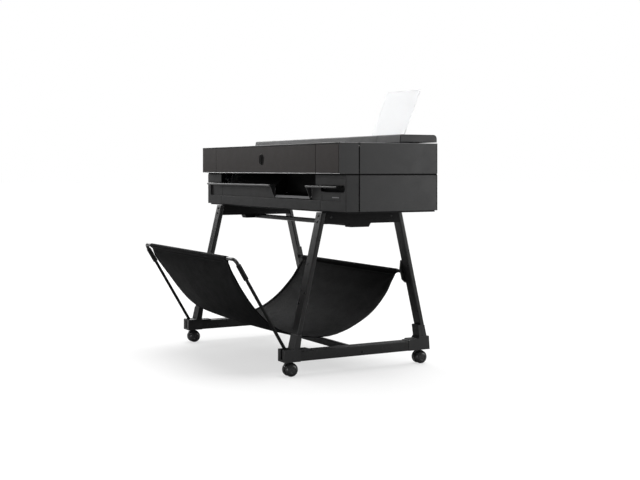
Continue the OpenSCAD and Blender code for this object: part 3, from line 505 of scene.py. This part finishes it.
def socket_head(origin, axis, radius, height, count=24):
    """Button-head screw with a hexagonal socket, with count points round it."""
    dome = [(radius * 0.98, -height * 0.2), (radius, 0), (radius * 0.98, height * 0.3),
            (radius * 0.88, height * 0.65), (radius * 0.7, height * 0.88), (radius * 0.5, height)]
    verts, faces = spun(dome, origin, axis, count)
    faces.pop()
    turn = Vector((0, 0, 1)).rotation_difference(Vector(axis)).to_matrix()
    rim = len(verts) - count
    for level in (height * 0.96, height * 0.45):
        for i in range(count):
            angle = 2 * math.pi * i / count
            hexagon = math.cos(math.pi / 6) / math.cos((angle % (math.pi / 3)) - math.pi / 6)
            spot = Vector((math.cos(angle), math.sin(angle), 0)) * radius * 0.4 * hexagon
            verts.append(Vector(origin) + turn @ (spot + Vector((0, 0, level))))
    for ring in (rim, rim + count):
        faces += [(ring + i, ring + (i + 1) % count, ring + count + (i + 1) % count, ring + count + i)
                  for i in range(count)]
    faces.append(tuple(rim + 2 * count + i for i in range(count)))
    return verts, faces


# Outward direction of the leaning front faces of the front legs
LEG_FACE = Vector((0, -0.974, 0.228))


def make_stand_bolts():
    """Button heads on the stand's bolts, on the sides and on the front faces of the legs."""
    heads = []
    for points in solids_of("stand_bolts", 0.006):
        low, high = corners(points)
        middle = (low + high) / 2
        size = high - low
        if size.x < 0.004:
            side = math.copysign(1, middle.x)
            heads.append(socket_head(Vector((middle.x - side * size.x / 2, middle.y, middle.z)),
                                     (side, 0, 0), size.z / 2, size.x))
        else:
            heads.append(socket_head(middle - LEG_FACE * 0.0015, LEG_FACE, size.x / 2, 0.003))
    bolts = build("stand_bolt_heads", *joined(heads), "powder", "printer", "bolt_steel")
    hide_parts("stand_bolts")


def make_rear_screws():
    """Small screws along the seams of the rear cover, which is plain in CAD."""
    low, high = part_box("rear_cover")
    heads = []
    for z in (low.z + 0.012, high.z - 0.012):
        for i in range(9):
            x = low.x + 0.02 + i * (high.x - low.x - 0.04) / 8
            heads.append(socket_head(Vector((x, high.y, z)), (0, 1, 0), 0.0035, 0.0016))
    build("rear_cover_screws", *joined(heads), "bolt", "printer", "bolt_steel")


make_stand_bolts()
make_rear_screws()


# ---- Casters: domed twin wheels ----

def wheel_profile(radius, inner, outer):
    """Half section of one wheel, as (radius, distance from the middle) pairs."""
    profile = [(0.0032, inner), (radius - 0.006, inner), (radius - 0.0052, inner + 0.0006),
               (radius - 0.0015, inner + 0.0012), (radius - 0.0003, inner + 0.0028)]
    tread = inner + 0.0055
    profile += [(radius, inner + 0.004), (radius, tread), (radius - 0.0004, tread + 0.0003),
                (radius - 0.0004, tread + 0.0007), (radius - 0.0002, tread + 0.001)]
    start = tread + 0.001
    for step in range(1, 12):
        angle = math.radians(78 * step / 11)
        profile.append((0.0085 + (radius - 0.0087) * math.cos(angle),
                        start + (outer - start) * math.sin(angle) / math.sin(math.radians(78))))
    profile += [(0.0108, outer - 0.0006), (0.0102, outer - 0.0012), (0.0094, outer - 0.0012),
                (0.0088, outer - 0.0003), (0.004, outer), (0.0004, outer)]
    return profile


def make_caster(index):
    """The pair of wheels of one caster."""
    node = f"caster_wheels_{index}"
    low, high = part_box(node)
    hub = (low + high) / 2
    radius, outer = (high.z - low.z) / 2, (high.x - low.x) / 2
    halves = [spun(wheel_profile(radius, 0.007, outer), hub, (side, 0, 0), 56) for side in (-1, 1)]
    wheels = build(f"caster_{index}_wheels", *joined(halves), "wheel", f"wheels_{index}", "wheel_rubber")
    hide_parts(node)


for index in range(1, 5):
    make_caster(index)


# ---- Front details ----

def bar_x(x0, x1, y, z, width, height, radius):
    """Slim bar along X with a rounded section and softened ends."""
    rings = []
    for x, scale in ((x0, 0.6), (x0 + 0.0006, 1), (x1 - 0.0006, 1), (x1, 0.6)):
        rings.append([Vector((x, y + a * scale, z + b * scale))
                      for a, b in rounded_rectangle(width, height, radius, 3)])
    return loft(rings)


FRONT_COVERS = [("upper_left_end_cover", "printer"), ("main_cover", "main_cover"),
                ("upper_right_end_cover", "printer")]
RETURN_WALL = 0.003
PLATE_PROUD = 0.0006


def make_front_trim():
    """Bright trim along the bottom edge of the upper front, and a dark bead along its top edge that is
    painted shade for the shadowed groove there.
    """
    for node, body in FRONT_COVERS:
        low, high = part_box(node)
        x0, x1 = low.x + 0.0003, high.x - 0.0003
        build(f"{node}_trim", *bar_x(x0, x1, low.y, low.z + 0.0014, 0.0026, 0.0026, 0.0012), "trim", body)
        # Dark bead: painted shade along the top edge of the front plates.
        build(f"{node}_bead", *bar_x(x0, x1, low.y, high.z - 0.0034, 0.0020, 0.0060, 0.0009), "dark_edge",
              body)


def soft_plate(outline, place, thick, edge):
    """Plate from an outline about the origin, with softened edges.

    place(a, b, height) puts an outline point in the world, height above the plate's back.
    """
    rings = []
    for height, inset in ((0, 0), (thick - edge, 0), (thick - edge * 0.3, edge * 0.4), (thick, edge)):
        ring = []
        for a, b in outline:
            length = math.hypot(a, b)
            ring.append(place(a - a / length * inset, b - b / length * inset, height))
        rings.append(ring)
    return loft(rings)


def make_front_plates():
    """Finished plates on the left end, the main cover and the ink door."""
    door_low, door_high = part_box("ink_door")
    cover_low, cover_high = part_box("main_cover")
    y, z0, z1 = cover_low.y + 0.0002, cover_low.z + 0.0043, cover_high.z - 0.0066
    spans = [("upper_left_front_plate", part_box("upper_left_end_cover")[0].x + RETURN_WALL + 0.0012,
              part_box("upper_left_end_cover")[1].x - 0.0007, "printer"),
             ("main_cover_front_plate", cover_low.x + 0.0007, cover_high.x - 0.0007, "main_cover"),
             ("ink_door_front_plate", door_low.x - 0.0005, door_high.x - 0.0060, "ink_door")]
    for name, x0, x1, body in spans:
        middle = Vector(((x0 + x1) / 2, y, (z0 + z1) / 2))
        outline = rounded_rectangle(x1 - x0, z1 - z0, 0.0008, 3)
        parts = soft_plate(outline, lambda a, b, h: middle + Vector((a, -h, b)),
                           PLATE_PROUD + 0.0002, 0.0003)
        build(name, *parts, "front_panel", body, "front_dark")


def make_badge_ring():
    """Narrow raised rim round the blank badge disc."""
    low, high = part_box("cover_badge")
    radius = (high.x - low.x) / 2
    centre = Vector(((low.x + high.x) / 2, low.y, (low.z + high.z) / 2))
    profile = [(radius - 0.0016, -0.0004), (radius - 0.0016, 0.0003), (radius - 0.0011, 0.0008),
               (radius - 0.0004, 0.0008), (radius + 0.0002, 0.0003), (radius + 0.0002, -0.0008)]
    count = 96
    last = (len(profile) - 1) * count
    verts, faces = spun(profile, centre, (0, -1, 0), count)
    faces = faces[:-2]
    faces += [(i, (i + 1) % count, last + (i + 1) % count, last + i) for i in range(count)]
    build("badge_ring", verts, faces, "badge_rim", "main_cover", "badge")


LABEL_X, LABEL_Z = 0.569, 0.6905
LABEL_WIDTH, LABEL_HEIGHT = 0.052, 0.0042


def make_blank_label():
    """Small blank plate in the right end of the front recess."""
    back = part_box("lower_right_end_cover")[0].y + 0.008
    middle = Vector((LABEL_X, back + 0.0001, LABEL_Z))
    parts = soft_plate(rounded_rectangle(LABEL_WIDTH, LABEL_HEIGHT, 0.001, 3),
                       lambda a, b, h: middle + Vector((a, -h, b)), 0.0007, 0.0002)
    build("blank_label", *parts, "label", "printer")


SLOT_BOTTOM = 0.7405
POCKET_LEFT, POCKET_RIGHT = 0.4620, 0.6517
POCKET_BOTTOM, POCKET_TOP = 0.7113, 0.7377
POCKET_DEPTH = 0.0165


def pocket_shade_liner(front):
    """Thin-walled cup that lines the hand pocket, open towards the front; its black is painted shade for the
    pocket's dark inside.
    """
    width, height, wall = POCKET_RIGHT - POCKET_LEFT, POCKET_TOP - POCKET_BOTTOM, 0.0008
    middle = Vector(((POCKET_LEFT + POCKET_RIGHT) / 2, front, (POCKET_BOTTOM + POCKET_TOP) / 2))
    outline = rounded_rectangle(width, height, height / 2 - 0.0001, 10)
    rings = []
    for depth, inset in ((POCKET_DEPTH, 0), (0.0012, 0), (0.0012, wall), (POCKET_DEPTH - 0.0006, wall)):
        scale_x, scale_z = 1 - 2 * inset / width, 1 - 2 * inset / height
        rings.append([middle + Vector((a * scale_x, depth, b * scale_z)) for a, b in outline])
    return loft(rings)


def make_slot_shade_liners():
    """Black liners on the left cheek of the output slot and in the hand pocket on the right: painted shade,
    dark sheets where those faces lie in shadow.
    """
    low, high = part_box("lower_left_end_cover")
    cheek = Vector((high.x + 0.0002, low.y + 0.0135, (SLOT_BOTTOM + high.z) / 2))
    plate = soft_plate(rounded_rectangle(0.0200, high.z - SLOT_BOTTOM - 0.001, 0.0005, 2),
                       lambda a, b, h: cheek + Vector((h, a, b)), 0.0006, 0.0002)
    build("slot_shade_liners", *joined([plate, pocket_shade_liner(low.y)]), "inner", "printer", "inner_black")


def make_ramp_lip_highlight():
    """Pale strip on the sloping lip between the two flaps: a painted highlight of the light the lip catches.
    """
    low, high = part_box("output_ramp")
    left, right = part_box("output_flap_left")[1].x + 0.0015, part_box("output_flap_right")[0].x - 0.0015
    top, bottom = Vector((0, low.y + 0.0102, low.z + 0.0122)), Vector((0, low.y, low.z + 0.0025))
    along = (top - bottom).normalized()
    out = Vector((0, -along.z, along.y))
    length = (top - bottom).length - 0.0006
    middle = (top + bottom) / 2 + Vector(((left + right) / 2, 0, 0)) - out * 0.0002
    parts = soft_plate(rounded_rectangle(right - left, length, 0.001, 3),
                       lambda a, b, h: middle + Vector((a, 0, 0)) + along * b + out * h, 0.001, 0.0004)
    build("ramp_lip_highlight_strip", *parts, "ramp_lip", "printer")


def make_seam_shade_strips():
    """Dark strips in the gap between the upper and lower side covers: painted shade that keeps the gap dark.
    """
    low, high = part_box("right_upper_side_cover")
    gap_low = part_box("right_lower_side_cover")[1].z
    parts = []
    for side in (-1, 1):
        x = side * (high.x - 0.0032)
        outline = rounded_rectangle(high.y - low.y + 0.002, low.z - gap_low, 0.0008, 2)
        middle = Vector((x, (low.y + high.y) / 2, (low.z + gap_low) / 2))
        parts.append(soft_plate(outline, lambda a, b, h: middle + Vector((side * (h - 0.003), a, b)),
                                0.0045, 0.0004))
    front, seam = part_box("lower_left_end_cover")[0].y, low.y
    for side, start in ((-1, -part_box("lower_fascia")[0].x), (1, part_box("output_ramp")[1].x + 0.005)):
        end = high.x - 0.0045
        outline = rounded_rectangle(end - start, low.z - gap_low + 0.0004, 0.0008, 2)
        middle = Vector((side * (start + end) / 2, front + 0.0065, (low.z + gap_low) / 2))
        parts.append(soft_plate(outline, lambda a, b, h: middle + Vector((a, -h, b)), 0.0025, 0.0004))
        outline = rounded_rectangle(seam - front + 0.001, low.z - gap_low + 0.0004, 0.0008, 2)
        middle = Vector((side * (high.x - 0.0062), (seam + front + 0.004) / 2, (low.z + gap_low) / 2))
        parts.append(soft_plate(outline, lambda a, b, h: middle + Vector((side * h, a, b)), 0.0025, 0.0004))
    build("side_seam_shade_strips", *joined(parts), "inner", "printer", "inner_black")


def bead_y(x, z, y0, y1, radius):
    """Slim round bead along Y with softened ends."""
    rings = []
    for y, scale in ((y0, 0.6), (y0 + 0.0006, 1), (y1 - 0.0006, 1), (y1, 0.6)):
        ring = []
        for step in range(16):
            angle = math.pi * step / 8
            ring.append(Vector((x + radius * scale * math.cos(angle), y,
                                z + radius * scale * math.sin(angle))))
        rings.append(ring)
    return loft(rings)


def make_edge_highlight_beads():
    """Paler round beads let into the top outer edges of the upper covers: a painted highlight of the light
    those rounded edges catch.
    """
    radius, inset = 0.00135, 0.0016
    low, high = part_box("right_upper_side_cover")
    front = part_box("upper_right_end_cover")[0].y
    parts = []
    for side in (-1, 1):
        for y0, y1 in ((front + 0.0025, low.y - 0.0052), (low.y + 0.0004, high.y - 0.0005)):
            parts.append(bead_y(side * (high.x - inset), high.z - inset, y0, y1, radius))
    build("deck_edge_highlight_beads", *joined(parts), "edge_bead", "printer")


def make_roll_end_cap():
    """Separate cap on the outer side of the roll cover's fixed end, in a dark surround."""
    low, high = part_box("roll_end_cover")
    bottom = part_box("roll_cover")[0].z
    corner = 0.016
    outline = [(low.y + 0.0006, bottom), (low.y + 0.0044, high.z - 0.004), (low.y + 0.0052, high.z - 0.0014),
               (low.y + 0.0075, high.z)]
    for step in range(9):
        angle = math.radians(90 - 90 * step / 8)
        outline.append((high.y - corner + corner * math.cos(angle),
                        high.z - corner + corner * math.sin(angle)))
    outline.append((high.y, bottom))
    middle = Vector(((low.y + high.y) / 2, (bottom + high.z) / 2))
    for name, look, grow, start, thick in (("roll_end_surround", "dark_edge", -0.0003, 0, 0.0008),
                                           ("roll_end_cap", "side_cover", -0.0018, 0.0006, 0.0016)):
        ring = []
        for y, z in outline:
            ring.append(((y - middle.x) * (1 + 2 * grow / (high.y - low.y)),
                         (z - middle.y) * (1 + 2 * grow / (high.z - bottom))))
        origin = Vector((high.x + start - 0.0002, middle.x, middle.y))
        parts = soft_plate(ring, lambda a, b, h: origin + Vector((h, a, b)), thick, 0.0004)
        build(name, *parts, look, "printer", "cover_grey")


def make_panel_frame():
    """Raised rim around the touch screen."""
    low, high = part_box("touch_screen")
    width, depth = high.x - low.x, high.y - low.y
    middle = (low + high) / 2
    rings = []
    for grow, height in ((-0.0008, 0.0002), (-0.0008, 0.0006), (0.0006, 0.0012), (0.0028, 0.0012),
                         (0.0042, 0.0005), (0.0044, -0.0012)):
        outline = rounded_rectangle(width + 2 * grow, depth + 2 * grow, max(0.0015, 0.003 + grow))
        rings.append([Vector((middle.x + x, middle.y + y, high.z - 0.0008 + height)) for x, y in outline])
    verts, faces = loft(rings, closed_ends=False)
    build("touch_screen_frame", verts, faces, "badge", "printer", "front_dark")


# Radius of the balls at the ends of the CAD's front rod, and of the eyes at the arms' lower ends
BALL = 0.0076
EYE = 0.008


def make_bin_tube():
    """Front rod of the bin, bent down at both ends into the sleeves of the arms."""
    low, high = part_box("bin_front_rod")
    eye_low, eye_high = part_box("bin_arms")
    rod = Vector((0, low.y + BALL, high.z - BALL))
    pivot = Vector((0, eye_high.y - EYE, eye_low.z + EYE))
    down = (pivot - rod).normalized()
    end = high.x - BALL
    bend, reach, radius = 0.021, 0.0245, 0.007
    half = [rod + Vector((end, 0, 0)) + down * reach]
    for step in range(13):
        angle = math.radians(90 * step / 12)
        out = Vector((end - bend + bend * math.cos(angle), 0, 0))
        half.append(rod + out + down * bend * (1 - math.sin(angle)))
    path = half + [rod] + [Vector((-p.x, p.y, p.z)) for p in reversed(half)]
    rings = []
    level = down.cross(Vector((1, 0, 0))).normalized()
    for i, here in enumerate(path):
        ahead = (path[min(i + 1, len(path) - 1)] - path[max(i - 1, 0)]).normalized()
        side = ahead.cross(level)
        ring = []
        for step in range(28):
            angle = math.pi * step / 14
            ring.append(here + (side * math.cos(angle) + level * math.sin(angle)) * radius)
        rings.append(ring)
    tube = build("bin_bent_tube", *loft(rings), "rod", "bin_frame", "bare_rod")
    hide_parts("bin_front_rod")


make_bin_tube()
make_front_trim()
make_front_plates()
make_badge_ring()
make_blank_label()
make_slot_shade_liners()
make_ramp_lip_highlight()
make_seam_shade_strips()
make_edge_highlight_beads()
make_roll_end_cap()
make_panel_frame()


# ---- Fabric sling ----

def rod_centre(node):
    low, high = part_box(node)
    return Vector(((low.y + high.y) / 2, (low.z + high.z) / 2))


CLOTH = 0.0014
ROD_RADIUS = (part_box("bin_rear_rod")[1].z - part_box("bin_rear_rod")[0].z) / 2
WRAP = ROD_RADIUS + CLOTH * 0.75
SEAM = 0.0135
HALF_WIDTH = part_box("media_sling")[1].x
# Spacing of the cloth's rows between its two seams
SPACING = 0.0065
# Depth and height of the cloth between its two seams, from front to rear
BELLY = [(-0.411, 0.401), (-0.374, 0.336), (-0.310, 0.248), (-0.228, 0.178), (-0.124, 0.138),
         (-0.012, 0.125), (0.098, 0.143), (0.198, 0.199), (0.280, 0.281), (0.322, 0.342)]


def hem_loop(rod, toward, seam_first):
    """Cloth round a rod, from its inner seam to its outer one or the other way."""
    away = (Vector(toward) - rod).normalized()
    seam = rod + away * SEAM
    across = Vector((-away.y, away.x)) * CLOTH * 0.8
    facing = math.atan2(away.y, away.x)
    half = math.acos(WRAP / SEAM)
    arc = []
    for step in range(19):
        angle = facing + half + (2 * math.pi - 2 * half) * step / 18
        arc.append(rod + WRAP * Vector((math.cos(angle), math.sin(angle))))
    if seam_first:
        return [seam + across] + arc + [seam]
    return [seam] + arc + [seam - across]


def smooth_line(points, steps):
    """Catmull-Rom curve through the points."""
    ends = [points[0] * 2 - points[1]] + points + [points[-1] * 2 - points[-2]]
    line = []
    for a, b, c, d in zip(ends, ends[1:], ends[2:], ends[3:]):
        for step in range(steps):
            t = step / steps
            line.append(0.5 * (2 * b + (c - a) * t + (2 * a - 5 * b + 4 * c - d) * t * t
                               + (3 * b - a - 3 * c + d) * t ** 3))
    return line + [points[-1]]


def resampled(line, spacing):
    """Points along a line at an even spacing."""
    lengths = [0.0]
    for a, b in zip(line, line[1:]):
        lengths.append(lengths[-1] + (b - a).length)
    count = round(lengths[-1] / spacing)
    result, at = [], 0
    for i in range(count + 1):
        want = lengths[-1] * i / count
        while at < len(line) - 2 and lengths[at + 1] < want:
            at += 1
        share = (want - lengths[at]) / (lengths[at + 1] - lengths[at])
        result.append(line[at].lerp(line[at + 1], min(1, max(0, share))))
    return result


front_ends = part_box("bin_front_rod")
front_rod = Vector((front_ends[0].y + BALL, front_ends[1].z - BALL))
rear_rod = rod_centre("bin_rear_rod")
front_loop = hem_loop(front_rod, BELLY[0], True)
rear_loop = hem_loop(rear_rod, BELLY[-1], False)
belly_line = resampled(smooth_line([front_loop[-1]] + [Vector(p) for p in BELLY] + [rear_loop[0]], 12),
                       SPACING)
BELLY_LENGTH = SPACING * (len(belly_line) - 1)


def ease(value):
    """Smooth step from 0 to 1."""
    value = min(1.0, max(0.0, value))
    return value * value * (3 - 2 * value)


def cloth_relief(x, along):
    """How far the cloth stands inwards from its middle line, along metres from the front seam."""
    to_end = min(along, BELLY_LENGTH - along)
    share = along / BELLY_LENGTH
    free = ease(to_end / 0.09)
    edge = HALF_WIDTH - abs(x)
    # A shallow crown across the width, uneven sag and curling side edges
    relief = -0.007 * free * (1 - (x / HALF_WIDTH) ** 2) * math.sin(math.pi * share)
    relief += 0.0022 * free * noise.noise(Vector((x * 2.3, along * 3.1, 1.7)))
    relief += 0.004 * free * math.exp(-edge / 0.022)
    relief += 0.0009 * free * math.exp(-edge / 0.06) * math.sin(along * 27 + math.copysign(1.3, x))
    # The left front and the right rear hang further in and out
    relief += 0.015 * free * ease(-(x + 0.1) / 0.3) * math.exp(-((share - 0.2) / 0.12) ** 2)
    relief -= 0.011 * free * ease((x - 0.1) / 0.3) * math.exp(-((share - 0.88) / 0.13) ** 2)
    # Cross creases in the lowest part, drag lines from the corners and puckers at the hems
    low = ease((share - 0.30) / 0.15) * ease((0.80 - share) / 0.2)
    patch = ease(0.5 + 1.2 * noise.noise(Vector((x * 3.0, along * 5.0, 8.2))))
    relief += 0.0013 * low * patch * noise.noise(Vector((x * 5.0, along * 70, 4.4)))
    relief += 0.0003 * free * noise.noise(Vector((x * 14, along * 110, 2.1)))
    for end in (0.0, BELLY_LENGTH):
        reach = math.hypot(edge, along - end)
        angle = math.atan2(abs(along - end), edge + 0.001)
        relief += 0.0014 * math.sin(9 * angle) * math.exp(-reach / 0.17) * ease(reach / 0.05)
    pucker = math.sin(x * 390 + 5 * noise.noise(Vector((x * 16, 0, 0))))
    relief += 0.0007 * pucker * math.exp(-to_end / 0.016)
    return relief


def cloth_point(x, index, lift=0.0):
    """A point of the belly at belly_line[index], lift metres inwards from the cloth's middle."""
    here = belly_line[index]
    ahead = belly_line[min(index + 1, len(belly_line) - 1)] - belly_line[max(index - 1, 0)]
    inward = Vector((-ahead.y, ahead.x)).normalized()
    along = index * SPACING
    free = ease(min(along, BELLY_LENGTH - along) / 0.12)
    narrow = 1 - 0.005 * free * math.sin(math.pi * along / BELLY_LENGTH)
    spot = here + inward * (cloth_relief(x, along) + lift)
    return Vector((x * narrow, spot.x, spot.y))


def cloth_uv(mesh, columns, rows, width, length):
    """UV map in metres of the flat cloth, for a grid of points."""
    layer = mesh.uv_layers.new(name="cloth")
    for loop in mesh.loops:
        column, row = loop.vertex_index % columns, loop.vertex_index // columns
        layer.data[loop.index].uv = (width * column / (columns - 1), length * row / (rows - 1))


def grid_faces(columns, rows):
    """Faces of a grid of points, given row by row."""
    return [(r * columns + i, r * columns + i + 1, (r + 1) * columns + i + 1, (r + 1) * columns + i)
            for r in range(rows - 1) for i in range(columns - 1)]


def thicken(piece, thickness):
    solid = piece.modifiers.new("thickness", "SOLIDIFY")
    solid.thickness = thickness
    solid.offset = 0
    return piece


def make_cloth():
    """The sling itself, from hem to hem, looped round both rods."""
    columns = 109
    xs = [HALF_WIDTH * (2 * i / (columns - 1) - 1) for i in range(columns)]
    rows = []
    for point in front_loop[:-1]:
        rows.append([Vector((x, point.x, point.y)) for x in xs])
    for index in range(len(belly_line)):
        rows.append([cloth_point(x, index) for x in xs])
    for point in rear_loop[1:]:
        rows.append([Vector((x, point.x, point.y)) for x in xs])
    verts = [point for row in rows for point in row]
    cloth = build("sling_cloth", verts, grid_faces(columns, len(rows)), "woven", None, "sling_fabric")
    cloth_uv(cloth.data, columns, len(rows), 2 * HALF_WIDTH, FLAT_LENGTH)
    return thicken(cloth, CLOTH)


def make_side_hems():
    """Folded-over strip along each side of the belly, on the inside."""
    width, columns = 0.014, 5
    parts = []
    for side in (-1, 1):
        verts, rows = [], range(2, len(belly_line) - 2)
        for index in rows:
            for i in range(columns):
                x = side * (HALF_WIDTH - 0.0004 - width * i / (columns - 1))
                verts.append(cloth_point(x, index, CLOTH * 0.98))
        parts.append((verts, grid_faces(columns, len(rows))))
    hems = build("sling_side_hems", *joined(parts), "woven", None, "sling_fabric")
    layer = hems.data.uv_layers.new(name="cloth")
    for loop in hems.data.loops:
        spot = hems.data.vertices[loop.vertex_index].co
        layer.data[loop.index].uv = (spot.x, spot.y + spot.z)
    return thicken(hems, CLOTH * 0.8)


def stitch(start, end, up, thick=0.0005):
    """One raised stitch of thread between two points."""
    side = (end - start).cross(up).normalized()
    verts, faces = [start - up * thick], []
    for share, rise in ((0.2, 0.5), (0.5, 0.9), (0.8, 0.5)):
        at = start.lerp(end, share) + up * thick * rise
        for turn in range(4):
            angle = math.pi * turn / 2
            verts.append(at + (side * math.cos(angle) + up * math.sin(angle)) * thick)
    verts.append(end - up * thick)
    for i in range(4):
        j = (i + 1) % 4
        faces.append((0, 1 + j, 1 + i))
        faces += [(1 + i, 1 + j, 5 + j, 5 + i), (5 + i, 5 + j, 9 + j, 9 + i)]
        faces.append((9 + i, 9 + j, 13))
    return verts, faces


def make_stitches():
    """Rows of stitches along the side hems and across below both rods, inside and out."""
    parts = []
    for side in (-1, 1):
        x = side * (HALF_WIDTH - 0.0115)
        for index in range(3, len(belly_line) - 3):
            for lift, out in ((CLOTH * 1.45, 1), (-CLOTH * 0.5, -1)):
                start, end = cloth_point(x, index, lift), cloth_point(x, index + 1, lift)
                across = Vector((1, 0, 0)).cross(end - start).normalized() * out
                parts.append(stitch(start, start.lerp(end, 0.72), across))
    for index in (1, len(belly_line) - 2):
        for i in range(160):
            x0 = -HALF_WIDTH + 0.006 + i * (2 * HALF_WIDTH - 0.012) / 160
            for lift, out in ((CLOTH * 0.5, 1), (-CLOTH * 0.5, -1)):
                start, end = cloth_point(x0, index, lift), cloth_point(x0 + 0.0034, index, lift)
                ahead = cloth_point(x0, index + (1 if index == 1 else -1), lift) - start
                up = ahead.cross(Vector((1, 0, 0))).normalized()
                up *= out if up.z > 0 else -out
                parts.append(stitch(start, end, up))
    return build("sling_stitches", *joined(parts), "thread", None, "sling_fabric")


FLAT_LENGTH = BELLY_LENGTH + 2 * (2 * SEAM + math.pi * WRAP)
cloth = make_cloth()
hems = make_side_hems()
stitches = make_stitches()
for piece in (cloth, hems, stitches):
    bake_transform(piece)
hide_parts("media_sling")


# ---- Floor, lights and camera ----

def by_ray(tree, shown, other, output):
    """Sends one shader to the camera, also through clear plastic, and another to all other rays."""
    ray = tree.nodes.new("ShaderNodeLightPath")
    seen = tree.nodes.new("ShaderNodeMath")
    seen.operation = "MAXIMUM"
    mix = tree.nodes.new("ShaderNodeMixShader")
    tree.links.new(ray.outputs["Is Camera Ray"], seen.inputs[0])
    tree.links.new(ray.outputs["Is Transmission Ray"], seen.inputs[1])
    tree.links.new(seen.outputs[0], mix.inputs[0])
    tree.links.new(other, mix.inputs[1])
    tree.links.new(shown, mix.inputs[2])
    tree.links.new(mix.outputs[0], output)


def make_floor():
    """Plain pale floor, far larger than the view, which throws less light back than it shows."""
    look = Look("pale_floor", (0.9, 0.9, 0.9), 0.9, Specular_IOR_Level=0.0)
    look.tint(look.spread(look.noise(0.7, 3), 0.4, 0.7, 0.0, 0.3), (0.87, 0.87, 0.87))
    tree = look.material.node_tree
    lit = tree.nodes.new("ShaderNodeEmission")
    lit.inputs["Strength"].default_value = 1.04
    shown = tree.nodes.new("ShaderNodeMixShader")
    shown.inputs[0].default_value = 0.6
    bounce = tree.nodes.new("ShaderNodeBsdfDiffuse")
    bounce.inputs["Color"].default_value = (0.42, 0.42, 0.42, 1)
    tree.links.new(look.shader.outputs[0], shown.inputs[1])
    tree.links.new(lit.outputs[0], shown.inputs[2])
    by_ray(tree, shown.outputs[0], bounce.outputs[0], tree.nodes["Material Output"].inputs["Surface"])
    LOOKS["floor"] = look.material
    rings = [[Vector((r * math.cos(a * math.pi / 32), r * math.sin(a * math.pi / 32), -0.0005))
              for a in range(64)] for r in (0.5, 3, 12, 60)]
    verts, faces = loft(rings, closed_ends=False)
    faces.append(tuple(range(64)))
    floor = build("floor", verts, faces, "floor", None)


def softbox(name, place, target, width, height, power):
    """Rectangular area light that faces its target."""
    light = bpy.data.lights.new(name, "AREA")
    light.shape = "RECTANGLE"
    light.size = width
    light.size_y = height
    light.energy = power
    lamp = bpy.data.objects.new(name, light)
    lamp.location = place
    lamp.rotation_euler = (Vector(target) - Vector(place)).to_track_quat("-Z", "Y").to_euler()
    bpy.context.scene.collection.objects.link(lamp)


def make_world():
    """White backdrop behind the object, and a dimmer even light on it."""
    world = bpy.data.worlds.new("studio")
    world.use_nodes = True
    tree = world.node_tree
    shown = tree.nodes["Background"]
    shown.inputs["Color"].default_value = (1, 1, 1, 1)
    shown.inputs["Strength"].default_value = 1.0
    lighting = tree.nodes.new("ShaderNodeBackground")
    lighting.inputs["Color"].default_value = (1, 1, 1, 1)
    lighting.inputs["Strength"].default_value = 0.2
    by_ray(tree, shown.outputs[0], lighting.outputs[0], tree.nodes["World Output"].inputs["Surface"])
    bpy.context.scene.world = world


def make_light():
    """Broad overhead light, and softboxes on the left, at the front and behind on the right."""
    make_world()
    overhead = bpy.data.lights.new("overhead", "SUN")
    overhead.energy = 2.95
    overhead.angle = math.radians(55)
    lamp = bpy.data.objects.new("overhead", overhead)
    lamp.rotation_euler = (math.radians(-12), math.radians(-8), 0)
    bpy.context.scene.collection.objects.link(lamp)
    softbox("left", (-4.8, 0.6, 3.0), (0, 0, 0.8), 3.0, 2.4, 110)
    softbox("front_left", (-4.3, -1.6, 2.15), (0, -0.2, 0.6), 1.4, 1.7, 28)
    softbox("front_right", (2.0, -4.4, 0.5), (0, -0.3, 0.3), 1.6, 0.9, 42)
    softbox("right_rear", (4.2, 4.4, 1.4), (0.6, 0.2, 0.6), 2.2, 2.2, 90)


def make_camera():
    """Camera at the front right, level with the body."""
    camera = bpy.data.cameras.new("camera")
    camera.sensor_width = 36
    camera.lens = 61.2
    camera.shift_y = -0.1109
    holder = bpy.data.objects.new("camera", camera)
    holder.location = (4.2156, -2.1428, 0.8012)
    holder.rotation_euler = (math.radians(90), 0, math.radians(60.89))
    bpy.context.scene.collection.objects.link(holder)
    bpy.context.scene.camera = holder


make_floor()
make_light()
make_camera()
bpy.context.scene.view_settings.view_transform = "Standard"
